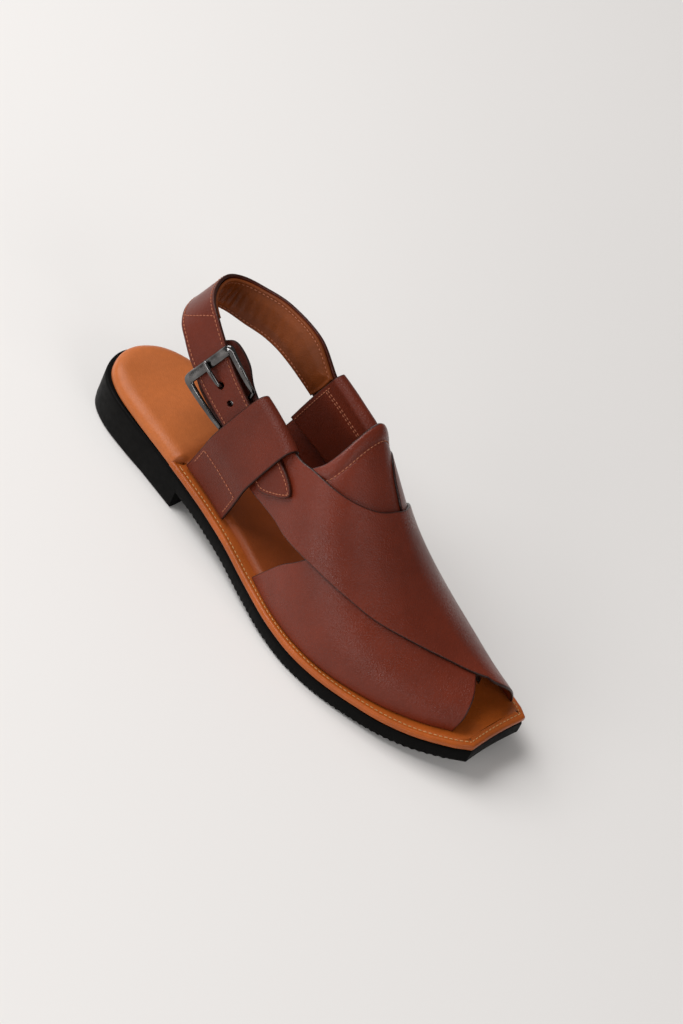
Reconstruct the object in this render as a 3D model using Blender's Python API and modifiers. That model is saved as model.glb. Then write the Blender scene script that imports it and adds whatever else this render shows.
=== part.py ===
"""Peshawari chappal, right shoe, as separate solids.

Metres, +Z up, +X to the toe, -Y the outer (lateral) side. The shoe is worked out in its own frame, with x
from the back of the heel and y from the last's axis, and an empty then puts its box's bottom centre on the
origin.
"""

from math import cos, hypot, pi, radians, sin, sqrt

import bmesh
import bpy
import numpy as np
from mathutils import Vector

# Driving dimensions of the sole
LENGTH = 0.291
LATERAL_WIDTH = 0.0515
MEDIAL_WIDTH = 0.0452
SOLE_THICKNESS = 0.009
HEEL_HEIGHT = 0.022
HEEL_LENGTH = 0.0815
HEEL_FLARE = 0.0028
HEEL_FLARE_END = 0.055
TOE_SPRING = 0.0082
TOE_HOLLOW = 0.0038
WELT_THICKNESS = 0.0042
WELT_BEAD = 0.0003
INSOLE_THICKNESS = 0.003
PAD_THICKNESS = 0.008
PAD_END = 0.0712
PAD_TURN = 0.005
INSOLE_INSET = 0.0068
INSOLE_CLEAR = 0.0008
INSOLE_THINNING = 0.84

# Ribs under the forefoot and the plain panel between them
RIB_PITCH = 0.0065
RIB_LAND = 0.0039
RIB_FLANK = 0.0005
RIB_DEPTH = 0.0009
RIB_START = 0.006
PANEL_LENGTH = 0.020

# Driving dimensions of the upper
INSTEP_HEIGHT = 0.105
WALL = 0.0018
OVER_WALL = 0.0020
TONGUE_WALL = 0.0017
TONGUE_SINK = 0.0012
OVER_LIFT = 0.0014
COLLAR_WALL = 0.0040
COLLAR_SINK = 0.0015
COLLAR_BAND = 0.0125
LOOP_WALL = 0.0017
LOOP_ROOM = 0.0014

# Heel strap and buckle
STRAP_WIDTH = 0.024
STRAP_WALL = 0.0019
LINING_WALL = 0.0022
LINING_INSET = 0.0008
HOLE_DIAMETER = 0.0034
BUCKLE_BAR = 0.0056
BUCKLE_ARM = 0.0036
BUCKLE_HINGE = 0.0024
BUCKLE_CLEAR = 0.0012
PRONG_DIAMETER = 0.0022
TAB_WALL = 0.0016
TAB_WIDTH = 0.034

# Clearance between neighbours
GAP = 0.0003

# Sole outline: along the length, then the lateral and medial half widths, as shares of the three sizes above
OUTLINE = (
    (0.000, -0.049, 0.055),
    (0.008, 0.146, 0.277),
    (0.026, 0.297, 0.449),
    (0.065, 0.423, 0.608),
    (0.137, 0.513, 0.712),
    (0.213, 0.567, 0.739),
    (0.289, 0.619, 0.721),
    (0.364, 0.670, 0.695),
    (0.440, 0.742, 0.704),
    (0.515, 0.850, 0.779),
    (0.591, 0.955, 0.898),
    (0.667, 1.000, 0.982),
    (0.735, 0.971, 1.000),
    (0.804, 0.891, 0.947),
    (0.869, 0.783, 0.850),
    (0.928, 0.625, 0.730),
    (0.966, 0.482, 0.637),
    (1.000, 0.335, 0.550),
)

# Side profile of the sole: along, share of the heel's rise, share of the toe spring
PROFILE = (
    (0.000, 1.00, 0.00),
    (0.170, 0.96, 0.00),
    (0.310, 0.79, 0.00),
    (0.395, 0.56, 0.00),
    (0.480, 0.27, 0.00),
    (0.585, 0.07, 0.00),
    (0.660, 0.00, 0.00),
    (0.730, 0.00, 0.00),
    (0.790, 0.00, 0.10),
    (0.900, 0.00, 0.42),
    (1.000, 0.00, 1.00),
)

# Last: along, how far its foot stands in from the outline on each side (shares of LENGTH), ridge height
# (share of INSTEP_HEIGHT), ridge place (share of MEDIAL_WIDTH), fullness of the section on each side, lean to
# the inner side
LAST = (
    (0.200, 0.022, 0.022, 1.200, 0.220, 2.00, 2.00, 0.10),
    (0.330, 0.021, 0.021, 1.180, 0.220, 2.00, 2.00, 0.10),
    (0.430, 0.018, 0.019, 1.130, 0.220, 2.00, 2.00, 0.07),
    (0.500, 0.019, 0.019, 1.060, 0.200, 2.00, 2.00, 0.03),
    (0.560, 0.017, 0.019, 0.925, 0.150, 2.10, 1.92, 0.00),
    (0.640, 0.017, 0.020, 0.725, 0.075, 2.20, 1.70, 0.00),
    (0.730, 0.018, 0.020, 0.542, 0.073, 2.30, 1.60, 0.00),
    (0.820, 0.024, 0.022, 0.425, 0.096, 2.35, 1.55, 0.00),
    (0.900, 0.034, 0.025, 0.365, 0.145, 2.40, 1.50, 0.00),
    (0.960, 0.038, 0.023, 0.345, 0.150, 2.40, 1.50, 0.00),
    (1.000, 0.024, 0.019, 0.330, 0.155, 2.40, 1.50, 0.00),
)


def interpolate(rows, column, at):
    """Smooth reading of one column of a table, at a value of its first column."""
    places = [row[0] for row in rows]
    values = [row[column] for row in rows]
    at = min(max(at, places[0]), places[-1])
    steps = [b - a for a, b in zip(places, places[1:])]
    rises = [(b - a) / step for a, b, step in zip(values, values[1:], steps)]
    slopes = [rises[0]]
    for before, after, left, right in zip(rises, rises[1:], steps, steps[1:]):
        slopes.append((before * right + after * left) / (left + right))
    slopes.append(rises[-1])
    cell = max(i for i, place in enumerate(places[:-1]) if place <= at)
    t = (at - places[cell]) / steps[cell]
    start = (2 * t**3 - 3 * t**2 + 1) * values[cell] + (t**3 - 2 * t**2 + t) * steps[cell] * slopes[cell]
    end = (3 * t**2 - 2 * t**3) * values[cell + 1] + (t**3 - t**2) * steps[cell] * slopes[cell + 1]
    return start + end


# The outline is read against the root of its first column, which rounds the back of the heel
ROUNDED = tuple((sqrt(along), lateral, medial) for along, lateral, medial in OUTLINE)


def half_widths(along):
    """y of the outline on the lateral and on the medial side."""
    place = sqrt(max(along, 0.0))
    return -LATERAL_WIDTH * interpolate(ROUNDED, 1, place), MEDIAL_WIDTH * interpolate(ROUNDED, 2, place)


def rubber_top(along):
    heel = (HEEL_HEIGHT - SOLE_THICKNESS) * interpolate(PROFILE, 1, along)
    return SOLE_THICKNESS + heel + TOE_SPRING * interpolate(PROFILE, 2, along)


def last_point(along, turn):
    """Point of the last: turn runs from 0 at the lateral edge over the ridge to 180 at the medial edge."""
    lateral, medial = half_widths(along)
    foot = rubber_top(along) + WELT_THICKNESS + 2.7 * GAP
    ridge = interpolate(LAST, 4, along) * MEDIAL_WIDTH
    rise = interpolate(LAST, 3, along) * INSTEP_HEIGHT - foot
    power = 2 / interpolate(LAST, 5, along)
    across, up = cos(radians(turn)), max(sin(radians(turn)), 0.0)
    edge = lateral + interpolate(LAST, 1, along) * LENGTH
    if across < 0:
        edge = medial - interpolate(LAST, 2, along) * LENGTH
        power = 2 / interpolate(LAST, 6, along)
    height = rise * up**power
    y = ridge + (edge - ridge) * abs(across) ** power + interpolate(LAST, 7, along) * height
    return np.array((along * LENGTH, y, foot + height))


def on_last(along, turn, lift=0.0):
    """Point at a distance outside the last."""
    point = last_point(along, turn)
    if not lift:
        return point
    step, bend = 0.002, 1.0
    forward = last_point(min(along + step, 1.0), turn) - last_point(along - step, turn)
    low, high = max(turn - bend, 0.5), min(turn + bend, 179.5)
    around = last_point(along, high) - last_point(along, low)
    normal = np.cross(forward, around)
    return point + lift * normal / np.linalg.norm(normal)


# Over strap, from its tail on the lateral waist to the medial toe side: front edge (along, turn), rear edge
# (along, turn) and its lift as a share of OVER_LIFT
OVER_STRAP = (
    (0.350, 18.0, 0.350, 40.5, 0.00),
    (0.385, 17.5, 0.400, 41.0, 0.00),
    (0.417, 17.6, 0.440, 41.3, 0.00),
    (0.452, 19.4, 0.468, 42.9, 0.10),
    (0.492, 22.0, 0.495, 46.5, 0.50),
    (0.531, 24.4, 0.520, 50.6, 0.90),
    (0.580, 29.8, 0.548, 56.3, 1.00),
    (0.641, 37.6, 0.576, 63.5, 1.00),
    (0.696, 45.2, 0.600, 72.0, 1.00),
    (0.747, 52.3, 0.617, 81.0, 1.00),
    (0.803, 62.8, 0.626, 91.0, 1.00),
    (0.857, 73.8, 0.627, 102.0, 1.00),
    (0.904, 83.5, 0.621, 113.0, 1.00),
    (0.937, 95.0, 0.607, 126.0, 1.00),
    (0.951, 112.0, 0.588, 140.0, 1.00),
    (0.957, 136.0, 0.562, 155.0, 1.00),
    (0.958, 180.0, 0.530, 180.0, 1.00),
)

# Under strap, from its tail on the medial waist to the lateral toe side, in the same columns
UNDER_STRAP = (
    (0.382, 163.0, 0.382, 136.5, 0.0),
    (0.417, 162.0, 0.420, 136.0, 0.0),
    (0.455, 161.0, 0.460, 137.0, 0.0),
    (0.499, 158.5, 0.499, 135.5, 0.0),
    (0.539, 155.0, 0.530, 124.0, 0.0),
    (0.588, 150.0, 0.555, 108.0, 0.0),
    (0.640, 143.0, 0.581, 102.4, 0.0),
    (0.690, 135.0, 0.609, 102.3, 0.0),
    (0.740, 128.0, 0.640, 100.5, 0.0),
    (0.790, 120.0, 0.646, 90.0, 0.0),
    (0.840, 109.0, 0.640, 75.0, 0.0),
    (0.884, 97.0, 0.628, 58.0, 0.0),
    (0.918, 82.0, 0.604, 40.0, 0.0),
    (0.937, 68.0, 0.580, 26.5, 0.0),
    (0.949, 49.0, 0.554, 17.0, 0.0),
    (0.955, 25.0, 0.532, 8.5, 0.0),
    (0.951, 0.0, 0.508, 0.0, 0.0),
)

# Tongue: turn, collar edge, hidden front edge
TONGUE = (
    (43.0, 0.480, 0.560),
    (48.0, 0.488, 0.600),
    (54.5, 0.498, 0.625),
    (64.0, 0.504, 0.650),
    (74.0, 0.506, 0.670),
    (84.0, 0.508, 0.685),
    (96.0, 0.510, 0.690),
    (108.0, 0.511, 0.680),
    (118.0, 0.511, 0.665),
    (127.0, 0.511, 0.645),
    (134.0, 0.511, 0.620),
)

# Waist loops: side, foot of the rear edge, foot of the front edge, turn of the fold
LOOPS = {
    "lateral_loop": (1, 0.274, 0.398, 45.2),
    "medial_loop": (-1, 0.295, 0.421, 48.5),
}
LOOP_RAKE = 0.0016

# A loop from the welt up over the fold: share of the fold's turn, share of the room that the strap needs
LOOP_PATH = (
    (0.010, 0.03),
    (0.150, 0.14),
    (0.290, 0.34),
    (0.365, 0.66),
    (0.430, 1.00),
    (0.600, 1.00),
    (0.760, 1.00),
    (0.920, 1.00),
    (0.978, 0.82),
    (1.000, 0.38),
    (0.982, -0.08),
    (0.930, -0.11),
)

# Heel strap centre line: on the last at its lateral end (along, turn, lift as a share of the over strap's
# wall), free round the heel (along, across, up as shares of LENGTH), on the last again at its medial end
STRAP_TIP = (
    (0.498, 33.9, 1.70),
    (0.470, 31.2, 1.46),
    (0.439, 28.8, 1.26),
    (0.407, 28.2, 1.15),
    (0.375, 28.4, 1.15),
    (0.341, 29.0, 1.15),
    (0.312, 29.9, 1.15),
)
STRAP_HOOP = (
    (0.254, -0.063, 0.284),
    (0.208, -0.058, 0.306),
    (0.170, -0.053, 0.328),
    (0.137, -0.034, 0.334),
    (0.112, 0.000, 0.333),
    (0.102, 0.041, 0.327),
    (0.118, 0.076, 0.315),
    (0.158, 0.095, 0.311),
    (0.215, 0.104, 0.316),
    (0.292, 0.107, 0.313),
)
STRAP_END = (
    (0.362, 144.5, 1.32),
    (0.400, 146.0, 1.32),
    (0.440, 148.5, 1.32),
)
STRAP_LEAN = (0.32, 0.33, 0.89)
TIP_LENGTH = 0.019
BAR_ROW = 7.65
HINGE_ROW = 6.07
PRONG_ROW = 6.93
SPARE_ROW = 6.42
LINING_START = 9.2
LINING_END = 16.6

# Buckle tab: strap row, share of its width below and above the strap's centre line
TAB = (
    (3.9, 0.50, 0.52),
    (4.8, 0.66, 0.66),
    (5.6, 0.82, 0.80),
    (6.4, 0.92, 0.95),
    (7.1, 0.90, 1.00),
    (7.6, 0.78, 0.92),
    (7.9, 0.52, 0.74),
    (8.05, 0.20, 0.42),
)

LEATHER = (0.235, 0.050, 0.026)
DARK_LEATHER = (0.140, 0.032, 0.020)
TAN = (0.480, 0.150, 0.040)
RUBBER = (0.012, 0.012, 0.013)
GUNMETAL = (0.180, 0.175, 0.175)


def finish(name, colour, roughness, metallic=0.0):
    """Principled material of one part."""
    made = bpy.data.materials.new(name)
    made.use_nodes = True
    shader = made.node_tree.nodes["Principled BSDF"]
    shader.inputs["Base Color"].default_value = (*colour, 1.0)
    shader.inputs["Roughness"].default_value = roughness
    shader.inputs["Metallic"].default_value = metallic
    return made


def add_mesh(name, points, faces, material):
    """Mesh object in the shoe's frame, carried by the shoe's empty."""
    mesh = bpy.data.meshes.new(name)
    mesh.from_pydata([tuple(float(v) for v in point) for point in points], [], faces)
    made = bpy.data.objects.new(name, mesh)
    made.parent = SHOE
    PARTS.objects.link(made)
    mesh.materials.append(material)
    mesh.shade_smooth()
    mesh.set_sharp_from_angle(angle=radians(40))
    return made


def face_outwards(made):
    shape = bmesh.new()
    shape.from_mesh(made.data)
    bmesh.ops.recalc_face_normals(shape, faces=shape.faces)
    if shape.calc_volume(signed=True) < 0:
        bmesh.ops.reverse_faces(shape, faces=shape.faces)
    shape.to_mesh(made.data)
    shape.free()


def as_cutter(made):
    """Takes an object out of the parts: it only serves a Boolean."""
    made.hide_render = True
    made.display_type = "WIRE"
    PARTS.objects.unlink(made)
    CUTTERS.objects.link(made)
    return made


def boolean(made, tool, operation):
    step = made.modifiers.new(f"{operation.lower()}_{tool.name}", "BOOLEAN")
    step.operation = operation
    step.solver = "EXACT"
    step.object = as_cutter(tool)


def sheet(name, rows, wall, material):
    """Closed leather sheet: rows of points on its inner face, and a wall towards its outer side."""
    columns = len(rows[0])
    points = [point for row in rows for point in row]
    faces = []
    for i in range(len(rows) - 1):
        for j in range(columns - 1):
            a = i * columns + j
            faces.append((a, a + columns, a + columns + 1, a + 1))
    made = add_mesh(name, points, faces, material)
    shell = made.modifiers.new("wall", "SOLIDIFY")
    shell.thickness = wall
    shell.offset = 1.0
    shell.use_even_offset = True
    return made


def spline(rows, at):
    """Point of a smooth line through rows of points, at a row number with a fraction."""
    cell = min(int(at), len(rows) - 2)
    t = at - cell
    p1, p2 = rows[cell], rows[cell + 1]
    p0 = rows[cell - 1] if cell else 2 * p1 - p2
    p3 = rows[cell + 2] if cell + 2 < len(rows) else 2 * p2 - p1
    bend = 2 * p0 - 5 * p1 + 4 * p2 - p3
    twist = 3 * p1 - p0 - 3 * p2 + p3
    return 0.5 * (2 * p1 + (p2 - p0) * t + bend * t * t + twist * t**3)


def spread(count, start=0.0, end=1.0):
    return [start + (end - start) * i / count for i in range(count + 1)]


def plan(stations, inset, corner_cut):
    """Closed outline of the sole from the first station to the toe, moved in by a distance at each point."""
    whole = stations[0] == 0
    lateral = [(along * LENGTH, half_widths(along)[0], 0.0) for along in stations]
    medial = [(along * LENGTH, half_widths(along)[1], 1.0) for along in stations]
    front = []
    toe = half_widths(1.0)
    for share in spread(FRONT_STEPS, corner_cut, 1 - corner_cut):
        y = toe[0] + (toe[1] - toe[0]) * share
        front.append((LENGTH - TOE_HOLLOW * 4 * share * (1 - share), y, share))
    loop = lateral + front + medial[: 0 if whole else None : -1]
    moved = []
    for i, point in enumerate(loop):
        before, after = loop[i - 1], loop[(i + 1) % len(loop)]
        normals = []
        for start, end in ((before, point), (point, after)):
            run = hypot(end[0] - start[0], end[1] - start[1])
            normals.append(((start[1] - end[1]) / run, (end[0] - start[0]) / run))
        mean = (normals[0][0] + normals[1][0], normals[0][1] + normals[1][1])
        size = hypot(*mean)
        corner = max(size / 2, 0.6)
        along = point[0] / LENGTH
        distance = inset(along, point[2]) / corner / size
        moved.append((point[0] + mean[0] * distance, point[1] + mean[1] * distance, along))
    return moved


FRONT_STEPS = 6
TOE_CUT = 0.03
INSOLE_CUT = 0.16


def layer(name, stations, rings, material, corner_cut=TOE_CUT):
    """Closed layer of the sole: rings from bottom to top, each an inset and a height along the length."""
    points = []
    for inset, height in rings:
        points += [(x, y, height(along)) for x, y, along in plan(stations, inset, corner_cut)]
    size = len(points) // len(rings)
    faces = []
    for ring in range(len(rings) - 1):
        for i in range(size):
            low, after = ring * size + i, ring * size + (i + 1) % size
            faces.append((low, after, after + size, low + size))
    count = len(stations)
    whole = stations[0] == 0
    for base in (0, size * (len(rings) - 1)):
        left = [base + i for i in range(count)]
        right = [base + size - 1 - i for i in range(count - whole)]
        if whole:
            right.insert(0, left[0])
        for i in range(count - 1):
            corners = (left[i], left[i + 1], right[i + 1], right[i])
            faces.append(tuple(dict.fromkeys(corners)))
        faces.append(tuple(range(left[-1], right[-1] + 1)))
    made = add_mesh(name, points, faces, material)
    face_outwards(made)
    return made


def constant(value):
    return lambda along, side: value


def rib_stations():
    """Stations of the outsole with the depth of its ribs: heel, breast, ribs and a plain panel."""
    breast = HEEL_LENGTH / LENGTH
    rows = [(breast * share**2, 0.0) for share in spread(12)]
    rows.append(((HEEL_LENGTH + GAP) / LENGTH, 0.0))
    panel_middle = interpolate(((0, PROFILE[6][0]), (1, PROFILE[7][0])), 1, 0.5) * LENGTH
    start = HEEL_LENGTH + RIB_START
    while start + RIB_PITCH < LENGTH - RIB_START / 2:
        plain = abs(start + RIB_PITCH / 2 - panel_middle) < PANEL_LENGTH / 2
        depth = 0.0 if plain else RIB_DEPTH
        groove = start + RIB_LAND
        for place, cut in (
            (start, 0.0),
            (groove, 0.0),
            (groove + RIB_FLANK, depth),
            (start + RIB_PITCH - RIB_FLANK, depth),
        ):
            rows.append((place / LENGTH, cut))
        start += RIB_PITCH
    rows.append((start / LENGTH, 0.0))
    rows.append((TOE_STATION, 0.0))
    return rows


TOE_STATION = 0.995


def make_outsole():
    ribs = rib_stations()
    breast = HEEL_LENGTH / LENGTH

    def floor(along):
        return 0.0 if along <= breast + 1e-6 else max(rubber_top(along) - SOLE_THICKNESS, 0.0)

    def tread(along):
        nearest = min(ribs, key=lambda row: abs(row[0] - along))
        return floor(along) + nearest[1]

    def edge(inset):
        return lambda along, side: inset - HEEL_FLARE * max(1 - along * LENGTH / HEEL_FLARE_END, 0.0)

    rings = (
        (edge(0.0010), tread),
        (edge(0.0002), lambda along: floor(along) + 0.0012),
        (edge(0.0), lambda along: rubber_top(along) - 0.0010),
        (edge(0.0006), rubber_top),
    )
    return layer("outsole", [row[0] for row in ribs], rings, finish("black_rubber", RUBBER, 0.55))


def make_welt():
    start = PAD_END + 2 * GAP + WELT_BEAD
    stations = spread(40, start / LENGTH, TOE_STATION)

    def height(share):
        return lambda along: rubber_top(along) + GAP + WELT_THICKNESS * share

    rings = (
        (constant(0.0008), height(0.0)),
        (constant(-WELT_BEAD), height(0.25)),
        (constant(-WELT_BEAD), height(0.68)),
        (constant(0.0010), height(1.0)),
    )
    return layer("welt", stations, rings, finish("tan_welt", TAN, 0.35))


def pad_turn(along):
    """0 on the heel pad, 1 on the footbed in front of it, with a short soft turn between."""
    share = min(max((along * LENGTH - PAD_END) / PAD_TURN, 0.0), 1.0)
    return share * share * (3 - 2 * share)


def footbed_inset(along, side):
    """The footbed stands in from the outline, and inside the feet of the upper."""
    lateral, medial = interpolate(LAST, 1, along), interpolate(LAST, 2, along)
    return max(INSOLE_INSET, (lateral + (medial - lateral) * side) * LENGTH + INSOLE_CLEAR)


def make_insole():
    heel = [PAD_END / LENGTH * share**2 for share in spread(11)]
    front = spread(36, (PAD_END + GAP) / LENGTH, 1 - INSOLE_CUT * 0.17)
    stations = heel + front

    def bottom(along):
        if along * LENGTH <= PAD_END + GAP / 2:
            return rubber_top(along) + GAP
        return rubber_top(along) + GAP + WELT_THICKNESS + GAP

    def top(along):
        thin = min(max((along - INSOLE_THINNING) / (1 - INSOLE_THINNING), 0.0), 1.0)
        forward = WELT_THICKNESS + GAP + INSOLE_THICKNESS * (1 - 0.7 * thin * (2 - thin))
        return rubber_top(along) + GAP + PAD_THICKNESS + (forward - PAD_THICKNESS) * pad_turn(along)

    def height(share):
        return lambda along: bottom(along) + (top(along) - bottom(along)) * share

    def inset(pad, footbed):
        return lambda along, side: pad + (footbed_inset(along, side) + footbed - pad) * pad_turn(along)

    rings = (
        (inset(0.0010, 0.0003), height(0.0)),
        (inset(0.0002, 0.0), height(0.20)),
        (inset(0.0004, 0.0006), height(0.55)),
        (inset(0.0018, 0.0026), height(0.86)),
        (inset(0.0050, 0.0060), height(1.0)),
    )
    return layer("insole", stations, rings, finish("tan_insole", TAN, 0.4), INSOLE_CUT)


def strap_rows(table, steps, columns, lift):
    """Grid of a vamp strap on the last: across it from the first edge of the table's rows to the second."""
    places = [np.array(row) for row in table]
    rows = []
    for at in spread(steps, 0, len(table) - 1):
        front_along, front_turn, rear_along, rear_turn, raised = spline(places, at)
        line = []
        for share in spread(columns):
            along = front_along + (rear_along - front_along) * share
            turn = front_turn + (rear_turn - front_turn) * share
            turn = min(max(turn, 0.0), 180.0)
            line.append(on_last(along, turn, lift * raised))
        rows.append(line)
    return rows


def make_upper():
    leather = finish("red_brown_leather", LEATHER, 0.38)
    under_rows = [row[::-1] for row in strap_rows(UNDER_STRAP, 30, 8, 0.0)]
    under = sheet("upper", under_rows, WALL, leather)
    over = sheet("over_strap", strap_rows(OVER_STRAP, 30, 8, OVER_LIFT), OVER_WALL, leather)
    boolean(under, over, "UNION")
    places = [np.array(row) for row in TONGUE]
    tongue_rows, collar_rows = [], []
    for at in spread(18, 0, len(TONGUE) - 1):
        turn, rear, front = spline(places, at)
        tongue_line = [on_last(front + (rear - front) * share, turn, -TONGUE_SINK) for share in spread(5)]
        edge = rear + COLLAR_BAND / LENGTH
        shares = spread(2, 0, 1.1)
        collar_line = [on_last(edge + (rear - edge) * share, turn, -COLLAR_SINK) for share in shares]
        tongue_rows.append(tongue_line)
        collar_rows.append(collar_line)
    boolean(under, sheet("tongue", tongue_rows, TONGUE_WALL, leather), "UNION")
    boolean(under, sheet("collar", collar_rows, COLLAR_WALL, leather), "UNION")
    return under


def make_loop(name):
    side, rear_foot, front_foot, fold = LOOPS[name]
    inner_wall = OVER_WALL if side > 0 else WALL
    room = inner_wall + STRAP_WALL + LOOP_ROOM
    rows = []
    places = [np.array(row) for row in LOOP_PATH]
    for at in spread(22, 0, len(places) - 1):
        share, raised = spline(places, at)
        turn = share * fold
        line = []
        for across in spread(5):
            along = front_foot + (rear_foot - front_foot) * across + LOOP_RAKE * turn
            line.append(on_last(along, turn if side > 0 else 180 - turn, raised * room))
        rows.append(line if side > 0 else line[::-1])
    return sheet(name, rows, LOOP_WALL, finish(f"{name}_leather", LEATHER, 0.45))


def strap_line(across, width):
    """Rows of points along the strap at a share across it, -0.5 at its lower edge, 0.5 at its upper edge."""
    rows = []
    for table in (STRAP_TIP, STRAP_HOOP, STRAP_END):
        for row in table:
            if table is STRAP_HOOP:
                rows.append(np.array(row) * LENGTH)
                continue
            along, turn, raised = row
            wall = OVER_WALL if table is STRAP_TIP else WALL
            slope = np.linalg.norm(on_last(along, turn + 1) - on_last(along, turn - 1)) / 2
            upward = 1 if turn < 90 else -1
            rows.append(on_last(along, turn + upward * across * width / slope, wall * raised))
    lean = np.array(STRAP_LEAN)
    first, last = len(STRAP_TIP), len(STRAP_TIP) + len(STRAP_HOOP)
    centres = [row.copy() for row in rows]
    for i in range(first, last):
        run = centres[i + 1] - centres[i - 1]
        run /= np.linalg.norm(run)
        up = lean - run * (lean @ run)
        rows[i] = centres[i] + up / np.linalg.norm(up) * across * width
    return rows


STRAP_COLUMNS = 4
STRAP_LINES = {}


def strap_point(at, across, out=0.0):
    """Point by strap row, distance across from the centre line and distance out from the inner face."""

    def surface(row, offset):
        key = round(offset, 6)
        if key not in STRAP_LINES:
            STRAP_LINES[key] = strap_line(key, 1.0)
        return spline(STRAP_LINES[key], row)

    point = surface(at, across)
    if not out:
        return point
    run = surface(at + 0.05, across) - surface(at - 0.05, across)
    up = surface(at, across + 0.001) - surface(at, across - 0.001)
    normal = np.cross(up, run)
    return point + out * normal / np.linalg.norm(normal)


def tip_share(at):
    """Share of the strap's width that its pointed tip has at a row."""
    away = np.linalg.norm(strap_point(at, 0.0) - strap_point(0.0, 0.0))
    return max(min(away / TIP_LENGTH, 1.0), 0.004) ** 0.6


def make_hole(name, at, diameter):
    """Cutter through the strap."""
    bpy.ops.mesh.primitive_cylinder_add(vertices=14, radius=diameter / 2, depth=0.008)
    cutter = bpy.context.object
    cutter.name = name
    inner, outer = strap_point(at, 0.0), strap_point(at, 0.0, STRAP_WALL)
    cutter.rotation_mode = "QUATERNION"
    cutter.rotation_quaternion = Vector(outer - inner).to_track_quat("Z", "Y")
    cutter.location = Vector((inner + outer) / 2)
    cutter.parent = SHOE
    for collection in list(cutter.users_collection):
        collection.objects.unlink(cutter)
    PARTS.objects.link(cutter)
    return cutter


def make_strap():
    count = len(STRAP_TIP) + len(STRAP_HOOP) + len(STRAP_END) - 1
    stations = spread(5, 0.0, 1.0) + spread(48, 1.0, count)[1:]
    rows = []
    for at in stations:
        half = STRAP_WIDTH / 2 * tip_share(at)
        rows.append([strap_point(at, half * across) for across in spread(STRAP_COLUMNS, 1, -1)])
    strap = sheet("heel_strap", rows, STRAP_WALL, finish("strap_leather", LEATHER, 0.35))
    boolean(strap, make_hole("prong_hole", PRONG_ROW, HOLE_DIAMETER + 2 * GAP), "DIFFERENCE")
    boolean(strap, make_hole("spare_hole", SPARE_ROW, HOLE_DIAMETER), "DIFFERENCE")
    return strap


def make_lining():
    rows = []
    for at in spread(28, LINING_START, LINING_END):
        half = STRAP_WIDTH / 2 - LINING_INSET
        rows.append([strap_point(at, half * across, -GAP - LINING_WALL) for across in spread(3, 1, -1)])
    return sheet("strap_lining", rows, LINING_WALL, finish("tan_lining", TAN, 0.5))


def make_tab():
    rows = []
    inner = -GAP - BUCKLE_HINGE - GAP - TAB_WALL
    places = [np.array(row) for row in TAB]
    for at in spread(14, 0, len(TAB) - 1):
        row, low, high = spline(places, at)
        rows.append([strap_point(row, TAB_WIDTH / 2 * side, inner) for side in spread(3, high, -low)])
    return sheet("buckle_tab", rows, TAB_WALL, finish("tab_leather", DARK_LEATHER, 0.5))


def buckle_out(at):
    """Height of the frame's middle over the strap's inner face: over it at the bar, under it at the hinge."""
    bar = STRAP_WALL + GAP + BUCKLE_BAR * 0.32
    hinge = -GAP - BUCKLE_HINGE / 2
    share = (at - HINGE_ROW) / (BAR_ROW - HINGE_ROW)
    return hinge + (bar - hinge) * min(max(share, 0.0), 1.0) ** 0.8


def make_buckle():
    """Frame as one closed ring: thick bar, two tapering arms and a thin hinge bar under the strap."""
    half_bar = STRAP_WIDTH / 2 + BUCKLE_CLEAR + BUCKLE_ARM / 2
    half_hinge = STRAP_WIDTH / 2 + BUCKLE_CLEAR + BUCKLE_HINGE / 2
    bend = 0.14
    ring = []
    for across in spread(4, -0.86, 0.86):
        ring.append((BAR_ROW, across * half_bar, BUCKLE_BAR))
    ring.append((BAR_ROW - bend * 0.3, half_bar * 0.97, BUCKLE_BAR * 0.9))
    for share in spread(5, 0.12, 0.94):
        row = BAR_ROW + (HINGE_ROW - BAR_ROW) * share
        thick = BUCKLE_ARM * 1.2 + (BUCKLE_HINGE - BUCKLE_ARM * 1.2) * share
        ring.append((row, half_bar + (half_hinge - half_bar) * share, thick))
    for across in spread(4, 0.92, -0.92):
        ring.append((HINGE_ROW, across * half_hinge, BUCKLE_HINGE))
    for row, across, thick in ring[10:4:-1]:
        ring.append((row, -across, thick))
    centres = [strap_point(row, across, buckle_out(row)) for row, across, thick in ring]
    sides = 8
    points, faces = [], []
    for i, (row, across, thick) in enumerate(ring):
        run = centres[(i + 1) % len(ring)] - centres[i - 1]
        run /= np.linalg.norm(run)
        out = strap_point(row, across, 0.001) - strap_point(row, across)
        out -= run * (out @ run)
        out /= np.linalg.norm(out)
        side = np.cross(run, out)
        for k in range(sides):
            angle = 2 * pi * k / sides
            reach = thick / 2 * (cos(angle) * side + 0.64 * sin(angle) * out)
            points.append(centres[i] + reach)
    total = len(points)
    for i in range(len(ring)):
        for k in range(sides):
            a, b = i * sides + k, i * sides + (k + 1) % sides
            faces.append((a, b, (b + sides) % total, (a + sides) % total))
    frame = add_mesh("buckle_frame", points, faces, finish("gunmetal", GUNMETAL, 0.18, 1.0))
    face_outwards(frame)
    return frame


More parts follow.
